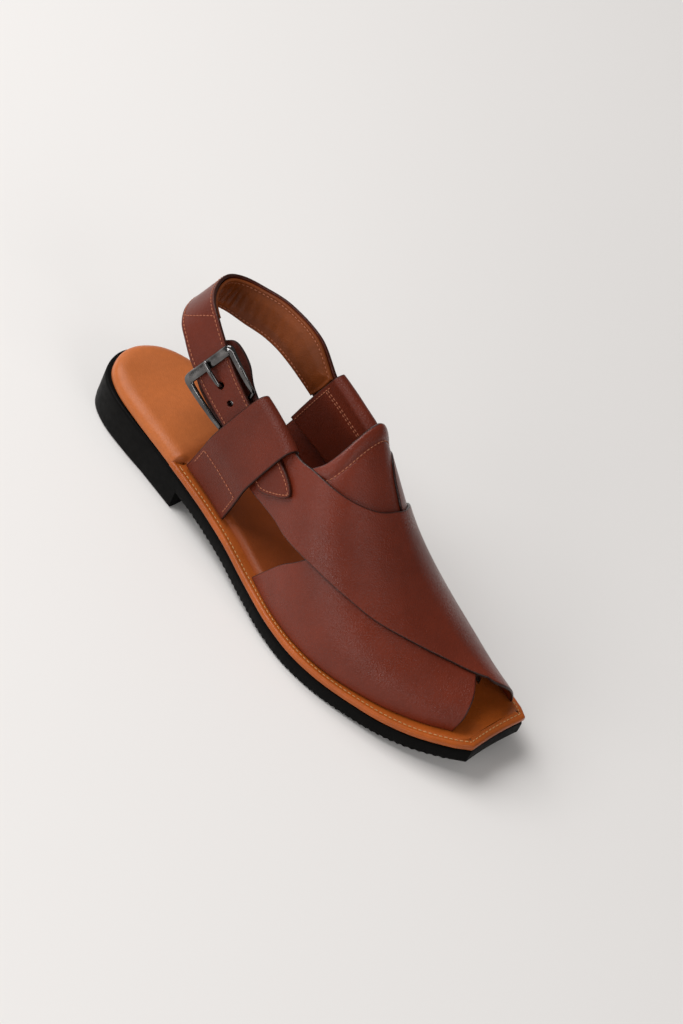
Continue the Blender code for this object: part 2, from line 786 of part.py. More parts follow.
def make_prong():
    """Prong from beside the hinge bar under the strap, up through its hole and over the thick bar."""
    under = -GAP - PRONG_DIAMETER / 2
    over_strap = STRAP_WALL + GAP + PRONG_DIAMETER / 2
    over_bar = buckle_out(BAR_ROW) + BUCKLE_BAR * 0.32 + GAP + PRONG_DIAMETER / 2
    start = HINGE_ROW + 0.20
    route = (
        (start, under),
        (PRONG_ROW - 0.16, under),
        (PRONG_ROW - 0.04, under * 0.8),
        (PRONG_ROW, 0.0),
        (PRONG_ROW, STRAP_WALL),
        (PRONG_ROW + 0.06, over_strap * 1.1),
        (PRONG_ROW + 0.24, over_strap * 1.5),
        (BAR_ROW - 0.22, over_bar * 0.92),
        (BAR_ROW, over_bar),
        (BAR_ROW + 0.16, over_bar * 0.98),
    )
    line = bpy.data.curves.new("prong_line", "CURVE")
    line.dimensions = "3D"
    line.bevel_depth = PRONG_DIAMETER / 2
    line.bevel_resolution = 2
    line.use_fill_caps = True
    path = line.splines.new("POLY")
    path.points.add(len(route) - 1)
    for point, (row, out) in zip(path.points, route):
        point.co = (*strap_point(row, 0.0, out), 1.0)
    prong = bpy.data.objects.new("buckle_prong", line)
    prong.parent = SHOE
    line.materials.append(finish("gunmetal_prong", GUNMETAL, 0.18, 1.0))
    PARTS.objects.link(prong)
    return prong


for old in list(bpy.data.objects):
    bpy.data.objects.remove(old, do_unlink=True)
PARTS = bpy.data.collections.new("peshawari_chappal")
CUTTERS = bpy.data.collections.new("cutters")
bpy.context.scene.collection.children.link(PARTS)
bpy.context.scene.collection.children.link(CUTTERS)
SHOE = bpy.data.objects.new("shoe", None)
SHOE.location = ((HEEL_FLARE - LENGTH) / 2, (LATERAL_WIDTH - MEDIAL_WIDTH) / 2, 0.0)
PARTS.objects.link(SHOE)

make_outsole()
make_welt()
make_insole()
make_upper()
for loop_name in LOOPS:
    make_loop(loop_name)
make_strap()
make_lining()
make_tab()
make_buckle()
make_prong()
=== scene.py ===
from math import cos, pi, radians, sin

import bpy
import numpy as np
from mathutils import Matrix, Vector


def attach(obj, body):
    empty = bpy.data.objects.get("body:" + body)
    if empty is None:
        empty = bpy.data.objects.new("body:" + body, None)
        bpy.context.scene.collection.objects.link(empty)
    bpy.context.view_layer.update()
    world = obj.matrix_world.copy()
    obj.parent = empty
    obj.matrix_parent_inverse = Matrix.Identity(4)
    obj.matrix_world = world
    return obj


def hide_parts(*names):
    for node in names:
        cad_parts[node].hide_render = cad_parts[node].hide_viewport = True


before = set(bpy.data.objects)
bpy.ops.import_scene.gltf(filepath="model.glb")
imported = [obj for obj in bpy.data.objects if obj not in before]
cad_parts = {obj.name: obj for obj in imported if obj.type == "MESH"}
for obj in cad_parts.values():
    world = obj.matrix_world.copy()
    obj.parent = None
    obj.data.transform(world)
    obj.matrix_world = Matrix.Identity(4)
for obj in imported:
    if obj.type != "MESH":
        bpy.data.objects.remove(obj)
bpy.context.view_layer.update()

# The camera: angles in degrees, distance and place in millimetres of the shoe's own frame
AZIMUTH, ELEVATION, ROLL = 27.3, 43.1, 25.7
DISTANCE = 2170.0
PIXELS_PER_MM = 1.94
AIM = (150.0, 0.0, 20.0)
OFFSET = (-32.5, 36.8)
FRAME_HEIGHT = 1024
SENSOR = 36.0

# Place of the shoe's own frame in the scene
SHIFT = np.array((-0.1441, 0.00315, 0.0))

# Sizes of the CAD, in metres
LENGTH = 0.291
LATERAL_WIDTH, MEDIAL_WIDTH = 0.0515, 0.0452
SOLE_THICKNESS, HEEL_HEIGHT, HEEL_LENGTH = 0.009, 0.022, 0.0815
HEEL_FLARE, HEEL_FLARE_END = 0.0028, 0.055
TOE_SPRING = 0.0082
WELT_THICKNESS, INSOLE_THICKNESS = 0.0042, 0.003
PAD_THICKNESS, PAD_END, PAD_TURN = 0.008, 0.0712, 0.005
INSOLE_INSET, INSOLE_CLEAR, INSOLE_CUT = 0.0068, 0.0008, 0.16
INSTEP_HEIGHT = 0.105
WALL, OVER_WALL, OVER_LIFT = 0.0018, 0.0020, 0.0014
LOOP_WALL, LOOP_ROOM, LOOP_RAKE = 0.0017, 0.0014, 0.0016
STRAP_WIDTH, STRAP_WALL = 0.024, 0.0019
LINING_WALL, LINING_INSET = 0.0022, 0.0008
HOLE_DIAMETER = 0.0034
BUCKLE_BAR, BUCKLE_ARM, BUCKLE_HINGE, BUCKLE_CLEAR = 0.0056, 0.0036, 0.0024, 0.0012
PRONG_DIAMETER = 0.0022
TAB_WALL, TAB_WIDTH = 0.0016, 0.034
GAP = 0.0003

# Toe of the sole's layers in this script: hollow of its front in metres, last station, end of the footbed
TOE_HOLLOW, TOE_STATION, FOOTBED_END = 0.0011, 0.980, 0.93

# Sole outline: along the length, lateral and medial half width as shares
OUTLINE = (
    (0.000, -0.049, 0.055),
    (0.008, 0.146, 0.277),
    (0.026, 0.297, 0.449),
    (0.065, 0.423, 0.608),
    (0.137, 0.513, 0.712),
    (0.213, 0.567, 0.739),
    (0.289, 0.619, 0.721),
    (0.364, 0.670, 0.695),
    (0.440, 0.742, 0.704),
    (0.515, 0.850, 0.779),
    (0.591, 0.955, 0.898),
    (0.667, 1.000, 0.982),
    (0.735, 0.971, 1.000),
    (0.804, 0.891, 0.947),
    (0.869, 0.783, 0.850),
    (0.928, 0.625, 0.730),
    (0.966, 0.482, 0.637),
    (1.000, 0.335, 0.550),
)

# Side profile: along, share of the heel's rise, share of the toe spring
PROFILE = (
    (0.000, 1.00, 0.00),
    (0.170, 0.96, 0.00),
    (0.310, 0.79, 0.00),
    (0.395, 0.56, 0.00),
    (0.480, 0.27, 0.00),
    (0.585, 0.07, 0.00),
    (0.660, 0.00, 0.00),
    (0.730, 0.00, 0.00),
    (0.790, 0.00, 0.10),
    (0.900, 0.00, 0.42),
    (1.000, 0.00, 1.00),
)

# Last: along, inset of its foot on each side, ridge height, ridge place, fullness on each side, lean
LAST = (
    (0.200, 0.022, 0.022, 1.200, 0.220, 2.00, 2.00, 0.10),
    (0.330, 0.021, 0.021, 1.180, 0.220, 2.00, 2.00, 0.10),
    (0.430, 0.018, 0.019, 1.130, 0.220, 2.00, 2.00, 0.07),
    (0.500, 0.019, 0.019, 1.060, 0.200, 2.00, 2.00, 0.03),
    (0.560, 0.017, 0.019, 0.925, 0.150, 2.10, 1.92, 0.00),
    (0.640, 0.017, 0.020, 0.725, 0.075, 2.20, 1.70, 0.00),
    (0.730, 0.018, 0.020, 0.542, 0.073, 2.30, 1.60, 0.00),
    (0.820, 0.024, 0.022, 0.425, 0.096, 2.35, 1.55, 0.00),
    (0.900, 0.034, 0.025, 0.365, 0.145, 2.40, 1.50, 0.00),
    (0.960, 0.038, 0.023, 0.345, 0.150, 2.40, 1.50, 0.00),
    (1.000, 0.024, 0.019, 0.330, 0.155, 2.40, 1.50, 0.00),
)

# Straps of the vamp: front edge (along, turn), rear edge (along, turn), share of OVER_LIFT
OVER_STRAP = (
    (0.350, 18.0, 0.350, 40.5, 0.00),
    (0.385, 17.5, 0.400, 41.0, 0.00),
    (0.417, 17.6, 0.440, 41.3, 0.00),
    (0.452, 19.4, 0.468, 42.9, 0.10),
    (0.492, 22.0, 0.495, 46.5, 0.50),
    (0.531, 24.4, 0.520, 50.6, 0.90),
    (0.580, 29.8, 0.548, 56.3, 1.00),
    (0.641, 37.6, 0.576, 63.5, 1.00),
    (0.696, 45.2, 0.600, 72.0, 1.00),
    (0.747, 52.3, 0.617, 81.0, 1.00),
    (0.803, 62.8, 0.626, 91.0, 1.00),
    (0.857, 73.8, 0.627, 102.0, 1.00),
    (0.904, 83.5, 0.621, 113.0, 1.00),
    (0.937, 95.0, 0.607, 126.0, 1.00),
    (0.951, 112.0, 0.588, 140.0, 1.00),
    (0.957, 136.0, 0.562, 155.0, 1.00),
    (0.958, 180.0, 0.530, 180.0, 1.00),
)
UNDER_STRAP = (
    (0.382, 163.0, 0.382, 136.5, 0.0),
    (0.417, 162.0, 0.420, 136.0, 0.0),
    (0.455, 161.0, 0.460, 137.0, 0.0),
    (0.499, 158.5, 0.499, 135.5, 0.0),
    (0.539, 155.0, 0.530, 124.0, 0.0),
    (0.588, 150.0, 0.555, 108.0, 0.0),
    (0.640, 143.0, 0.581, 102.4, 0.0),
    (0.690, 135.0, 0.609, 102.3, 0.0),
    (0.740, 128.0, 0.640, 100.5, 0.0),
    (0.790, 120.0, 0.646, 90.0, 0.0),
    (0.840, 109.0, 0.640, 75.0, 0.0),
    (0.884, 97.0, 0.628, 58.0, 0.0),
    (0.918, 82.0, 0.604, 40.0, 0.0),
    (0.937, 68.0, 0.580, 26.5, 0.0),
    (0.949, 49.0, 0.554, 17.0, 0.0),
    (0.955, 25.0, 0.532, 8.5, 0.0),
    (0.951, 0.0, 0.508, 0.0, 0.0),
)

# Tongue: turn, collar edge, hidden front edge
TONGUE = (
    (43.0, 0.484, 0.560),
    (48.0, 0.496, 0.600),
    (54.5, 0.507, 0.625),
    (64.0, 0.512, 0.650),
    (74.0, 0.512, 0.670),
    (84.0, 0.511, 0.685),
    (96.0, 0.511, 0.690),
    (108.0, 0.511, 0.680),
    (118.0, 0.511, 0.665),
    (127.0, 0.511, 0.645),
    (134.0, 0.511, 0.620),
)

# Section of the tongue in millimetres: distance from the collar's rim, inner and outer height over the last
TONGUE_SECTION = (
    (0.0, 0.0, 0.0),
    (0.25, -0.9, 0.9),
    (0.8, -1.35, 1.5),
    (1.8, -1.5, 1.8),
    (3.3, -1.6, 1.85),
    (5.2, -1.5, 1.5),
    (6.4, -1.3, 0.95),
    (7.0, -1.25, 0.72),
    (7.6, -1.2, 0.9),
    (10.0, -1.2, 1.1),
    (16.0, -1.2, 0.8),
    (24.0, -1.2, 0.5),
    (70.0, -1.2, 0.5),
)

# Distance of the collar's seam from the rim, in millimetres
COLLAR_SEAM = 7.0

# Waist loops: side, foot of the rear edge, foot of the front edge, turn of the fold, rake of the front edge
LOOPS = {
    "lateral_loop": (1, 0.268, 0.391, 41.2, 0.0014),
    "medial_loop": (-1, 0.295, 0.421, 47.2, 0.0016),
}

# Path of a loop over its fold: share of the fold's turn, share of the room under the loop
LOOP_PATH = (
    (0.010, 0.03),
    (0.150, 0.24),
    (0.290, 0.56),
    (0.365, 0.80),
    (0.450, 1.00),
    (0.600, 1.00),
    (0.760, 1.00),
    (0.920, 1.00),
    (0.978, 0.82),
    (1.000, 0.38),
    (0.982, -0.08),
    (0.930, -0.11),
    (0.860, -0.13),
    (0.800, -0.14),
    (0.700, -0.15),
    (0.580, -0.14),
    (0.460, -0.12),
    (0.340, -0.09),
)
# Rows of the inner lip that the lateral loop leaves out
SHORT_LIP = 4

# Mean widths of vamp straps and loops, for the columns near their borders
VAMP_WIDTH, LOOP_WIDTH = 0.05, 0.036

# Heel strap: on the last (along, turn, lift), free (along, across, up), on the last again
STRAP_TIP = (
    (0.498, 33.9, 1.70),
    (0.470, 31.2, 1.46),
    (0.439, 28.8, 1.26),
    (0.407, 28.2, 1.15),
    (0.375, 28.4, 1.15),
    (0.341, 28.4, 1.15),
    (0.312, 28.9, 1.15),
)
STRAP_HOOP = (
    (0.254, -0.068, 0.282),
    (0.208, -0.062, 0.306),
    (0.170, -0.053, 0.328),
    (0.137, -0.034, 0.334),
    (0.112, 0.000, 0.333),
    (0.102, 0.041, 0.327),
    (0.118, 0.076, 0.315),
    (0.158, 0.095, 0.311),
    (0.215, 0.104, 0.316),
    (0.288, 0.101, 0.313),
)
STRAP_END = (
    (0.362, 144.5, 1.32),
    (0.400, 146.0, 1.32),
    (0.440, 148.5, 1.32),
)
STRAP_END_ROW = len(STRAP_TIP) + len(STRAP_HOOP) + len(STRAP_END) - 1
STRAP_LEAN = (0.32, 0.33, 0.89)
TIP_LENGTH = 0.019

# The strap is slimmer before this row, over these rows and by this share
SLIM_END, SLIM_ROWS, SLIM_SHARE = 8.4, 1.6, 0.09

# Rows of the strap that carry the buckle's bar and hinge, its prong hole and spare hole, and the lining
BAR_ROW, HINGE_ROW, PRONG_ROW, SPARE_ROW = 7.68, 6.07, 6.93, 6.42
BUCKLE_SKEW = 0.22
LINING_START, LINING_END, LINING_SLANT = 9.2, 17.0, 0.17

# Padding of the lining: its swell, its folds' depth, and the strap row with most folds
PADDING, FOLD_DEPTH, FOLD_ROW = 0.0010, 0.00042, 12.6

# Buckle tab: strap row, share of its width below and above the strap's centre line
TAB = (
    (3.9, 0.50, 0.52),
    (4.8, 0.66, 0.66),
    (5.6, 0.82, 0.80),
    (6.4, 0.92, 0.95),
    (7.2, 0.90, 1.04),
    (7.8, 0.78, 1.00),
    (8.15, 0.52, 0.84),
    (8.32, 0.20, 0.50),
)

# Colours
RED_BROWN = (0.142, 0.0205, 0.0078)
LOOP_BROWN = (0.1108, 0.0160, 0.0061)
DEEP_BROWN = (0.070, 0.0130, 0.0070)
WELT_TAN = (0.376, 0.0827, 0.0122)
PAD_TAN = (0.460, 0.128, 0.034)
# Multiplier for the footbed in front of the heel pad: partly its own deeper tan, partly painted shade where
# the straps shadow it
FOOTBED_TONE_AND_SHADOW = (0.58, 0.44, 0.34)
LINING_TAN = (0.184, 0.0405, 0.0060)
BROWN_THREAD = (0.42, 0.14, 0.07)
CREAM_THREAD = (0.62, 0.33, 0.13)
LIGHT_METAL = (0.150, 0.146, 0.144)
DARK_METAL = (0.075, 0.072, 0.072)
LIGHT_RUBBER = (0.0034, 0.0031, 0.0029)
DARK_RUBBER = (0.0016, 0.0015, 0.0014)
FLOOR = (0.80, 0.775, 0.755)
SKY, SKY_STRENGTH = (0.86, 0.85, 0.84), 0.20

# Stitches of the upper and of the welt: pitch, length and radius
STITCH_SIZE = (0.0024, 0.0019, 0.00030)
WELT_STITCH_SIZE = (0.0027, 0.0021, 0.00028)

# Distance of the seams from the edges of the strap, its lining and the welt
STRAP_SEAM, LINING_SEAM, WELT_SEAM = 0.0021, 0.0026, 0.0026

# One stitch: place along it, share of its radius
STITCH = ((-0.5, 0.05), (-0.46, 0.6), (-0.3, 0.95), (0.0, 1.0), (0.3, 0.95), (0.46, 0.6), (0.5, 0.05))

# Seams of the loops: loop, label, places (row of its path, share across)
LOOP_BOX = ((0.8, 0.933), (1.95, 0.933), (1.95, 0.067), (0.45, 0.067))
LOOP_SEAMS = (
    ("lateral_loop", "box_stitch", LOOP_BOX),
    ("medial_loop", "box_stitch", LOOP_BOX),
    ("medial_loop", "edge_stitch", ((11.6, 0.93), (16.8, 0.93))),
    ("medial_loop", "lip_stitch_0", ((12.25, 0.93), (12.25, 0.07))),
    ("medial_loop", "lip_stitch_1", ((12.75, 0.93), (12.75, 0.07))),
)

# Seam across the strap behind the buckle: strap row and distance across at its lower and upper end
CROSS_SEAM = ((10.25, -0.0092), (9.30, 0.0095))

# Sole: pitch of the teeth in the rubber's edge, cut at the corners of the toe, and where the footbed thins
TEETH_PITCH, TOE_CUT = 0.0034, 0.03
THINNING_START, THINNING_LENGTH = 0.74, 0.14

# Edge of the rubber, upward: inset, height from the floor or from the top, depth of the teeth inward and up
RUBBER_EDGE = (
    (0.0030, "floor", 0.0, 0.0, 0.0003),
    (0.0012, "floor", 0.0, 0.0003, 0.0005),
    (0.0005, "floor", 0.0002, 0.0004, 0.0005),
    (0.0001, "floor", 0.0008, 0.0003, 0.0002),
    (0.0000, "floor", 0.0018, 0.0002, 0.0),
    (-0.0001, "floor", 0.0030, 0.0, 0.0),
    (-0.0001, "top", -0.0020, 0.0, 0.0),
    (0.0000, "top", -0.0010, 0.0, 0.0),
    (0.0002, "top", -0.0004, 0.0, 0.0),
    (0.0006, "top", -0.0001, 0.0, 0.0),
    (0.0012, "top", 0.0, 0.0, 0.0),
)

# Edge of the welt, upward and then inward over its bead and seam channel: inset, share of its thickness
WELT_EDGE = (
    (0.0010, 0.0),
    (0.0002, 0.10),
    (-0.0003, 0.28),
    (-0.0005, 0.50),
    (-0.0004, 0.72),
    (0.0, 0.88),
    (0.0006, 0.98),
    (0.0012, 1.0),
    (0.0018, 0.975),
    (0.0022, 0.93),
    (0.0026, 0.925),
    (0.0032, 0.955),
    (0.0040, 0.965),
    (0.0048, 0.965),
)

# Lights: name, place, aim, width and height of the panel, power
LIGHTS = (
    ("side_softbox", (-0.05, -1.35, 0.42), (0.0, 0.0, 0.04), (1.4, 0.16), 6.5),
    ("top", (-1.35, -0.35, 1.6), (0.0, 0.0, 0.03), (1.8, 1.8), 50.0),
    ("front", (1.5, -0.35, 1.0), (0.0, 0.0, 0.03), (0.9, 0.7), 6.0),
)
FLOOR_REACH = 6.0


# Geometry: readings of the tables, the last and the strap


def reading(rows, column):
    """Smooth reading of one column against the first, for arrays."""
    places = np.array([row[0] for row in rows], float)
    values = np.array([row[column] for row in rows], float)
    steps = np.diff(places)
    rises = np.diff(values) / steps
    slopes = np.empty(len(places))
    slopes[0], slopes[-1] = rises[0], rises[-1]
    slopes[1:-1] = (rises[:-1] * steps[1:] + rises[1:] * steps[:-1]) / (steps[:-1] + steps[1:])

    def read(at):
        at = np.clip(at, places[0], places[-1])
        cell = np.clip(np.searchsorted(places, at, side="right") - 1, 0, len(places) - 2)
        t = (at - places[cell]) / steps[cell]
        start = (2 * t**3 - 3 * t**2 + 1) * values[cell]
        start = start + (t**3 - 2 * t**2 + t) * steps[cell] * slopes[cell]
        end = (3 * t**2 - 2 * t**3) * values[cell + 1] + (t**3 - t**2) * steps[cell] * slopes[cell + 1]
        return start + end

    return read


ROUNDED = tuple((along**0.5, lateral, medial) for along, lateral, medial in OUTLINE)
READ_LATERAL, READ_MEDIAL = reading(ROUNDED, 1), reading(ROUNDED, 2)
READ_HEEL, READ_TOE = reading(PROFILE, 1), reading(PROFILE, 2)
READ_LAST = [None] + [reading(LAST, column) for column in range(1, 8)]


def half_widths(along):
    """Lateral and medial edge of the sole."""
    place = np.sqrt(np.maximum(along, 0.0))
    return -LATERAL_WIDTH * READ_LATERAL(place), MEDIAL_WIDTH * READ_MEDIAL(place)


def rubber_top(along):
    return SOLE_THICKNESS + (HEEL_HEIGHT - SOLE_THICKNESS) * READ_HEEL(along) + TOE_SPRING * READ_TOE(along)


def last_point(along, turn):
    """Point on the last by share of the length and turn: 0 is the lateral edge, 180 the medial one."""
    along, turn = np.broadcast_arrays(np.asarray(along, float), np.asarray(turn, float))
    lateral, medial = half_widths(along)
    foot = rubber_top(along) + WELT_THICKNESS + 2.7 * GAP
    ridge = READ_LAST[4](along) * MEDIAL_WIDTH
    rise = READ_LAST[3](along) * INSTEP_HEIGHT - foot
    across, up = np.cos(np.radians(turn)), np.maximum(np.sin(np.radians(turn)), 0.0)
    inner = across < 0
    edge = np.where(inner, medial - READ_LAST[2](along) * LENGTH, lateral + READ_LAST[1](along) * LENGTH)
    power = 2 / np.where(inner, READ_LAST[6](along), READ_LAST[5](along))
    height = rise * up**power
    y = ridge + (edge - ridge) * np.abs(across) ** power + READ_LAST[7](along) * height
    return np.stack((along * LENGTH, y, foot + height), axis=-1)


def unit(vectors):
    return vectors / np.maximum(np.linalg.norm(vectors, axis=-1, keepdims=True), 1e-12)


def last_normal(along, turn):
    forward = last_point(np.minimum(along + 0.002, 1.0), turn) - last_point(along - 0.002, turn)
    around = last_point(along, np.minimum(turn + 1, 179.5)) - last_point(along, np.maximum(turn - 1, 0.5))
    return unit(np.cross(forward, around))


def on_last(along, turn, lift=0.0):
    """Point at a lift over the last."""
    along, turn = np.broadcast_arrays(np.asarray(along, float), np.asarray(turn, float))
    return last_point(along, turn) + np.asarray(lift)[..., None] * last_normal(along, turn)


def spline(rows, at):
    """Smooth line through rows (rows x columns, or rows x columns x 3), read at an array of row numbers."""
    rows = np.asarray(rows, float)
    at = np.asarray(at, float)
    padded = np.concatenate((2 * rows[:1] - rows[1:2], rows, 2 * rows[-1:] - rows[-2:-1]))
    cell = np.clip(at.astype(int), 0, len(rows) - 2)
    t = (at - cell).reshape(at.shape + (1,) * (rows.ndim - 1))
    p0, p1, p2, p3 = (padded[cell + k] for k in range(4))
    bend = 2 * p0 - 5 * p1 + 4 * p2 - p3
    twist = 3 * p1 - p0 - 3 * p2 + p3
    return 0.5 * (2 * p1 + (p2 - p0) * t + bend * t * t + twist * t**3)


def strap_lines(across):
    """Rows along the strap's inner face for each distance across: strap rows x columns x 3."""
    across = np.asarray(across, float)
    rows, centres = [], []
    for table in (STRAP_TIP, STRAP_HOOP, STRAP_END):
        for row in table:
            if table is STRAP_HOOP:
                rows.append(None)
                centres.append(np.array(row) * LENGTH)
                continue
            along, turn, raised = row
            wall = OVER_WALL if table is STRAP_TIP else WALL
            slope = np.linalg.norm(on_last(along, turn + 1) - on_last(along, turn - 1)) / 2
            upward = 1 if turn < 90 else -1
            rows.append(on_last(along, turn + upward * across / slope, wall * raised))
            centres.append(on_last(along, turn, wall * raised))
    lean = np.array(STRAP_LEAN)
    for i, row in enumerate(rows):
        if row is None:
            run = unit(centres[i + 1] - centres[i - 1])
            up = unit(lean - run * (lean @ run))
            rows[i] = centres[i] + across[:, None] * up
    return np.array(rows)


def strap_grid(at, across):
    """Points and outward normals of the strap's inner face; at: row numbers, n or n x m, across: n x m."""
    at, across = np.asarray(at, float), np.asarray(across, float)
    if at.ndim == 1:
        at = np.broadcast_to(at[:, None], across.shape)
    wide = np.linspace(-0.6 * TAB_WIDTH, 0.6 * TAB_WIDTH, 61)
    lines = strap_lines(wide)

    def surface(rows, places):
        line = spline(lines, rows)
        share = (places - wide[0]) / (wide[1] - wide[0])
        cell = np.clip(share.astype(int), 0, len(wide) - 2)
        t = (share - cell)[..., None]
        left = np.take_along_axis(line, cell[..., None, None], axis=2)[:, :, 0]
        right = np.take_along_axis(line, cell[..., None, None] + 1, axis=2)[:, :, 0]
        return left * (1 - t) + right * t

    points = surface(at, across)
    run = surface(at + 0.05, across) - surface(at - 0.05, across)
    up = surface(at, across + 0.0012) - surface(at, across - 0.0012)
    return points, unit(np.cross(up, run))


# Meshes


def link(name, mesh):
    made = bpy.data.objects.new(name, mesh)
    bpy.context.scene.collection.objects.link(made)
    return made


def add_piece(name, points, faces, material):
    mesh = bpy.data.meshes.new(name)
    mesh.from_pydata((np.asarray(points, float).reshape(-1, 3) + SHIFT).tolist(), [], faces)
    mesh.materials.append(material)
    mesh.shade_smooth()
    made = link(name, mesh)
    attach(made, "root")
    return made


def edge_distance(grid):
    """Distance of each point of a grid from the nearest border, measured along its rows and columns."""
    found = np.full(grid.shape[:2], 1.0)
    for axis in (0, 1):
        steps = np.linalg.norm(np.diff(grid, axis=axis), axis=-1)
        zero = np.zeros_like(steps[:1] if axis == 0 else steps[:, :1])
        walked = np.concatenate((zero, np.cumsum(steps, axis=axis)), axis=axis)
        total = walked[-1:] if axis == 0 else walked[:, -1:]
        found = np.minimum(found, np.minimum(walked, total - walked))
    return found


def edged(count, width):
    """Shares across a sheet with extra columns near its borders."""
    rounding = 0.0011 / width
    close = rounding * np.array((0.0, 0.12, 0.35, 0.7, 1.1))
    middle = np.linspace(1.6 * rounding, 1 - 1.6 * rounding, count)
    return np.unique(np.concatenate((close, middle, 1 - close)))


def shell(name, grid, normals, inner, outer, material, rounding=None, seam=0.0):
    """Closed sheet between two heights over a grid, with rounded borders.

    seam: distance from the border of a line that the stitches sink into.
    """
    n, m = grid.shape[:2]
    away = edge_distance(grid)
    inner = np.broadcast_to(inner, (n, m))
    outer = np.broadcast_to(outer, (n, m))
    rounding = np.mean(outer - inner) / 2 * 1.1 if rounding is None else rounding
    full = (1 - (1 - np.minimum(away / rounding, 1.0)) ** 2.6) ** (1 / 2.6)
    middle, half = (inner + outer) / 2, (outer - inner) / 2
    dent = 0.0
    if seam:
        dent = 0.00022 * np.exp(-(((away - seam) / 0.0006) ** 2))
    top = grid + (middle + half * full - dent * full)[..., None] * normals
    low = grid + (middle - half * full)[..., None] * normals
    border = np.zeros((n, m), bool)
    border[0], border[-1], border[:, 0], border[:, -1] = True, True, True, True
    upper_index = np.arange(n * m).reshape(n, m)
    lower_index = upper_index.copy()
    lower_index[~border] = n * m + np.arange((~border).sum())
    points = np.concatenate((top.reshape(-1, 3), low[~border]))
    distances = np.concatenate((away.reshape(-1), away[~border]))

    def quads(index, reverse):
        a, b, c, d = index[:-1, :-1], index[1:, :-1], index[1:, 1:], index[:-1, 1:]
        order = (d, c, b, a) if reverse else (a, b, c, d)
        return np.stack(order, axis=-1).reshape(-1, 4)

    flip = flip_for(grid, normals)
    faces = np.concatenate((quads(upper_index, flip), quads(lower_index, not flip)))
    made = add_piece(name, points, faces.tolist(), material)
    mark = made.data.attributes.new("edge_mm", "FLOAT", "POINT")
    mark.data.foreach_set("value", (distances * 1000).astype(np.float32))
    return made


def flip_for(grid, normals):
    """True when the grid's own winding looks against its normals."""
    i, j = grid.shape[0] // 2, grid.shape[1] // 2
    face = np.cross(grid[i + 1, j] - grid[i, j], grid[i, j + 1] - grid[i, j])
    return bool(face @ normals[i, j] < 0)


def tube(name, centres, outs, widths, heights, material, closed=False, sides=16, power=2.0):
    """Solid along a line, with a superellipse for its section."""
    centres, outs = np.asarray(centres), np.asarray(outs)
    count = len(centres)
    if closed:
        run = unit(np.roll(centres, -1, axis=0) - np.roll(centres, 1, axis=0))
    else:
        run = unit(np.gradient(centres, axis=0))
    out = unit(outs - run * np.sum(outs * run, axis=1, keepdims=True))
    side = np.cross(run, out)
    angles = 2 * pi * np.arange(sides) / sides
    c, s = np.cos(angles), np.sin(angles)
    size = (np.abs(c) ** power + np.abs(s) ** power) ** (-1 / power)
    rings = (
        centres[:, None]
        + (np.asarray(widths)[:, None] / 2 * (c * size))[..., None] * side[:, None]
        + (np.asarray(heights)[:, None] / 2 * (s * size))[..., None] * out[:, None]
    )
    points = rings.reshape(-1, 3)
    faces = []
    for i in range(count if closed else count - 1):
        for k in range(sides):
            a, b = i * sides + k, i * sides + (k + 1) % sides
            c1, d1 = (a + sides) % (count * sides), (b + sides) % (count * sides)
            faces.append((a, b, d1, c1))
    if not closed:
        faces.append(tuple(range(sides))[::-1])
        faces.append(tuple((count - 1) * sides + k for k in range(sides)))
    return add_piece(name, points, faces, material)


# Materials


class Nodes:
    """Short hand for one node tree."""

    def __init__(self, name):
        self.made = bpy.data.materials.new(name)
        self.made.use_nodes = True
        self.tree = self.made.node_tree
        self.shader = self.tree.nodes["Principled BSDF"]
        self.place = self.add("ShaderNodeTexCoord").outputs["Object"]

    def add(self, kind, **values):
        node = self.tree.nodes.new(kind)
        for key, value in values.items():
            setattr(node, key, value)
        return node

    def join(self, source, target):
        self.tree.links.new(source, target)

    def noise(self, scale, detail=3.0, roughness=0.5):
        node = self.add("ShaderNodeTexNoise")
        node.inputs["Scale"].default_value = scale
        node.inputs["Detail"].default_value = detail
        node.inputs["Roughness"].default_value = roughness
        self.join(self.place, node.inputs["Vector"])
        return node.outputs["Fac"]

    def spread(self, source, low, high, to_low=0.0, to_high=1.0):
        node = self.add("ShaderNodeMapRange")
        node.inputs["From Min"].default_value = low
        node.inputs["From Max"].default_value = high
        node.inputs["To Min"].default_value = to_low
        node.inputs["To Max"].default_value = to_high
        self.join(source, node.inputs["Value"])
        return node.outputs["Result"]

    def mix(self, share, first, second):
        node = self.add("ShaderNodeMix", data_type="RGBA")
        self.join(share, node.inputs["Factor"])
        for value, socket in ((first, node.inputs[6]), (second, node.inputs[7])):
            if isinstance(value, tuple):
                socket.default_value = (*value, 1.0)
            else:
                self.join(value, socket)
        return node.outputs[2]

    def bump(self, height, distance, strength=1.0, before=None):
        node = self.add("ShaderNodeBump")
        node.inputs["Distance"].default_value = distance
        node.inputs["Strength"].default_value = strength
        self.join(height, node.inputs["Height"])
        if before is not None:
            self.join(before, node.inputs["Normal"])
        return node.outputs["Normal"]

    def set(self, **values):
        for key, value in values.items():
            self.shader.inputs[key.replace("_", " ")].default_value = value


def scaled(colour, factor):
    return tuple(min(value * factor, 1.0) for value in colour)


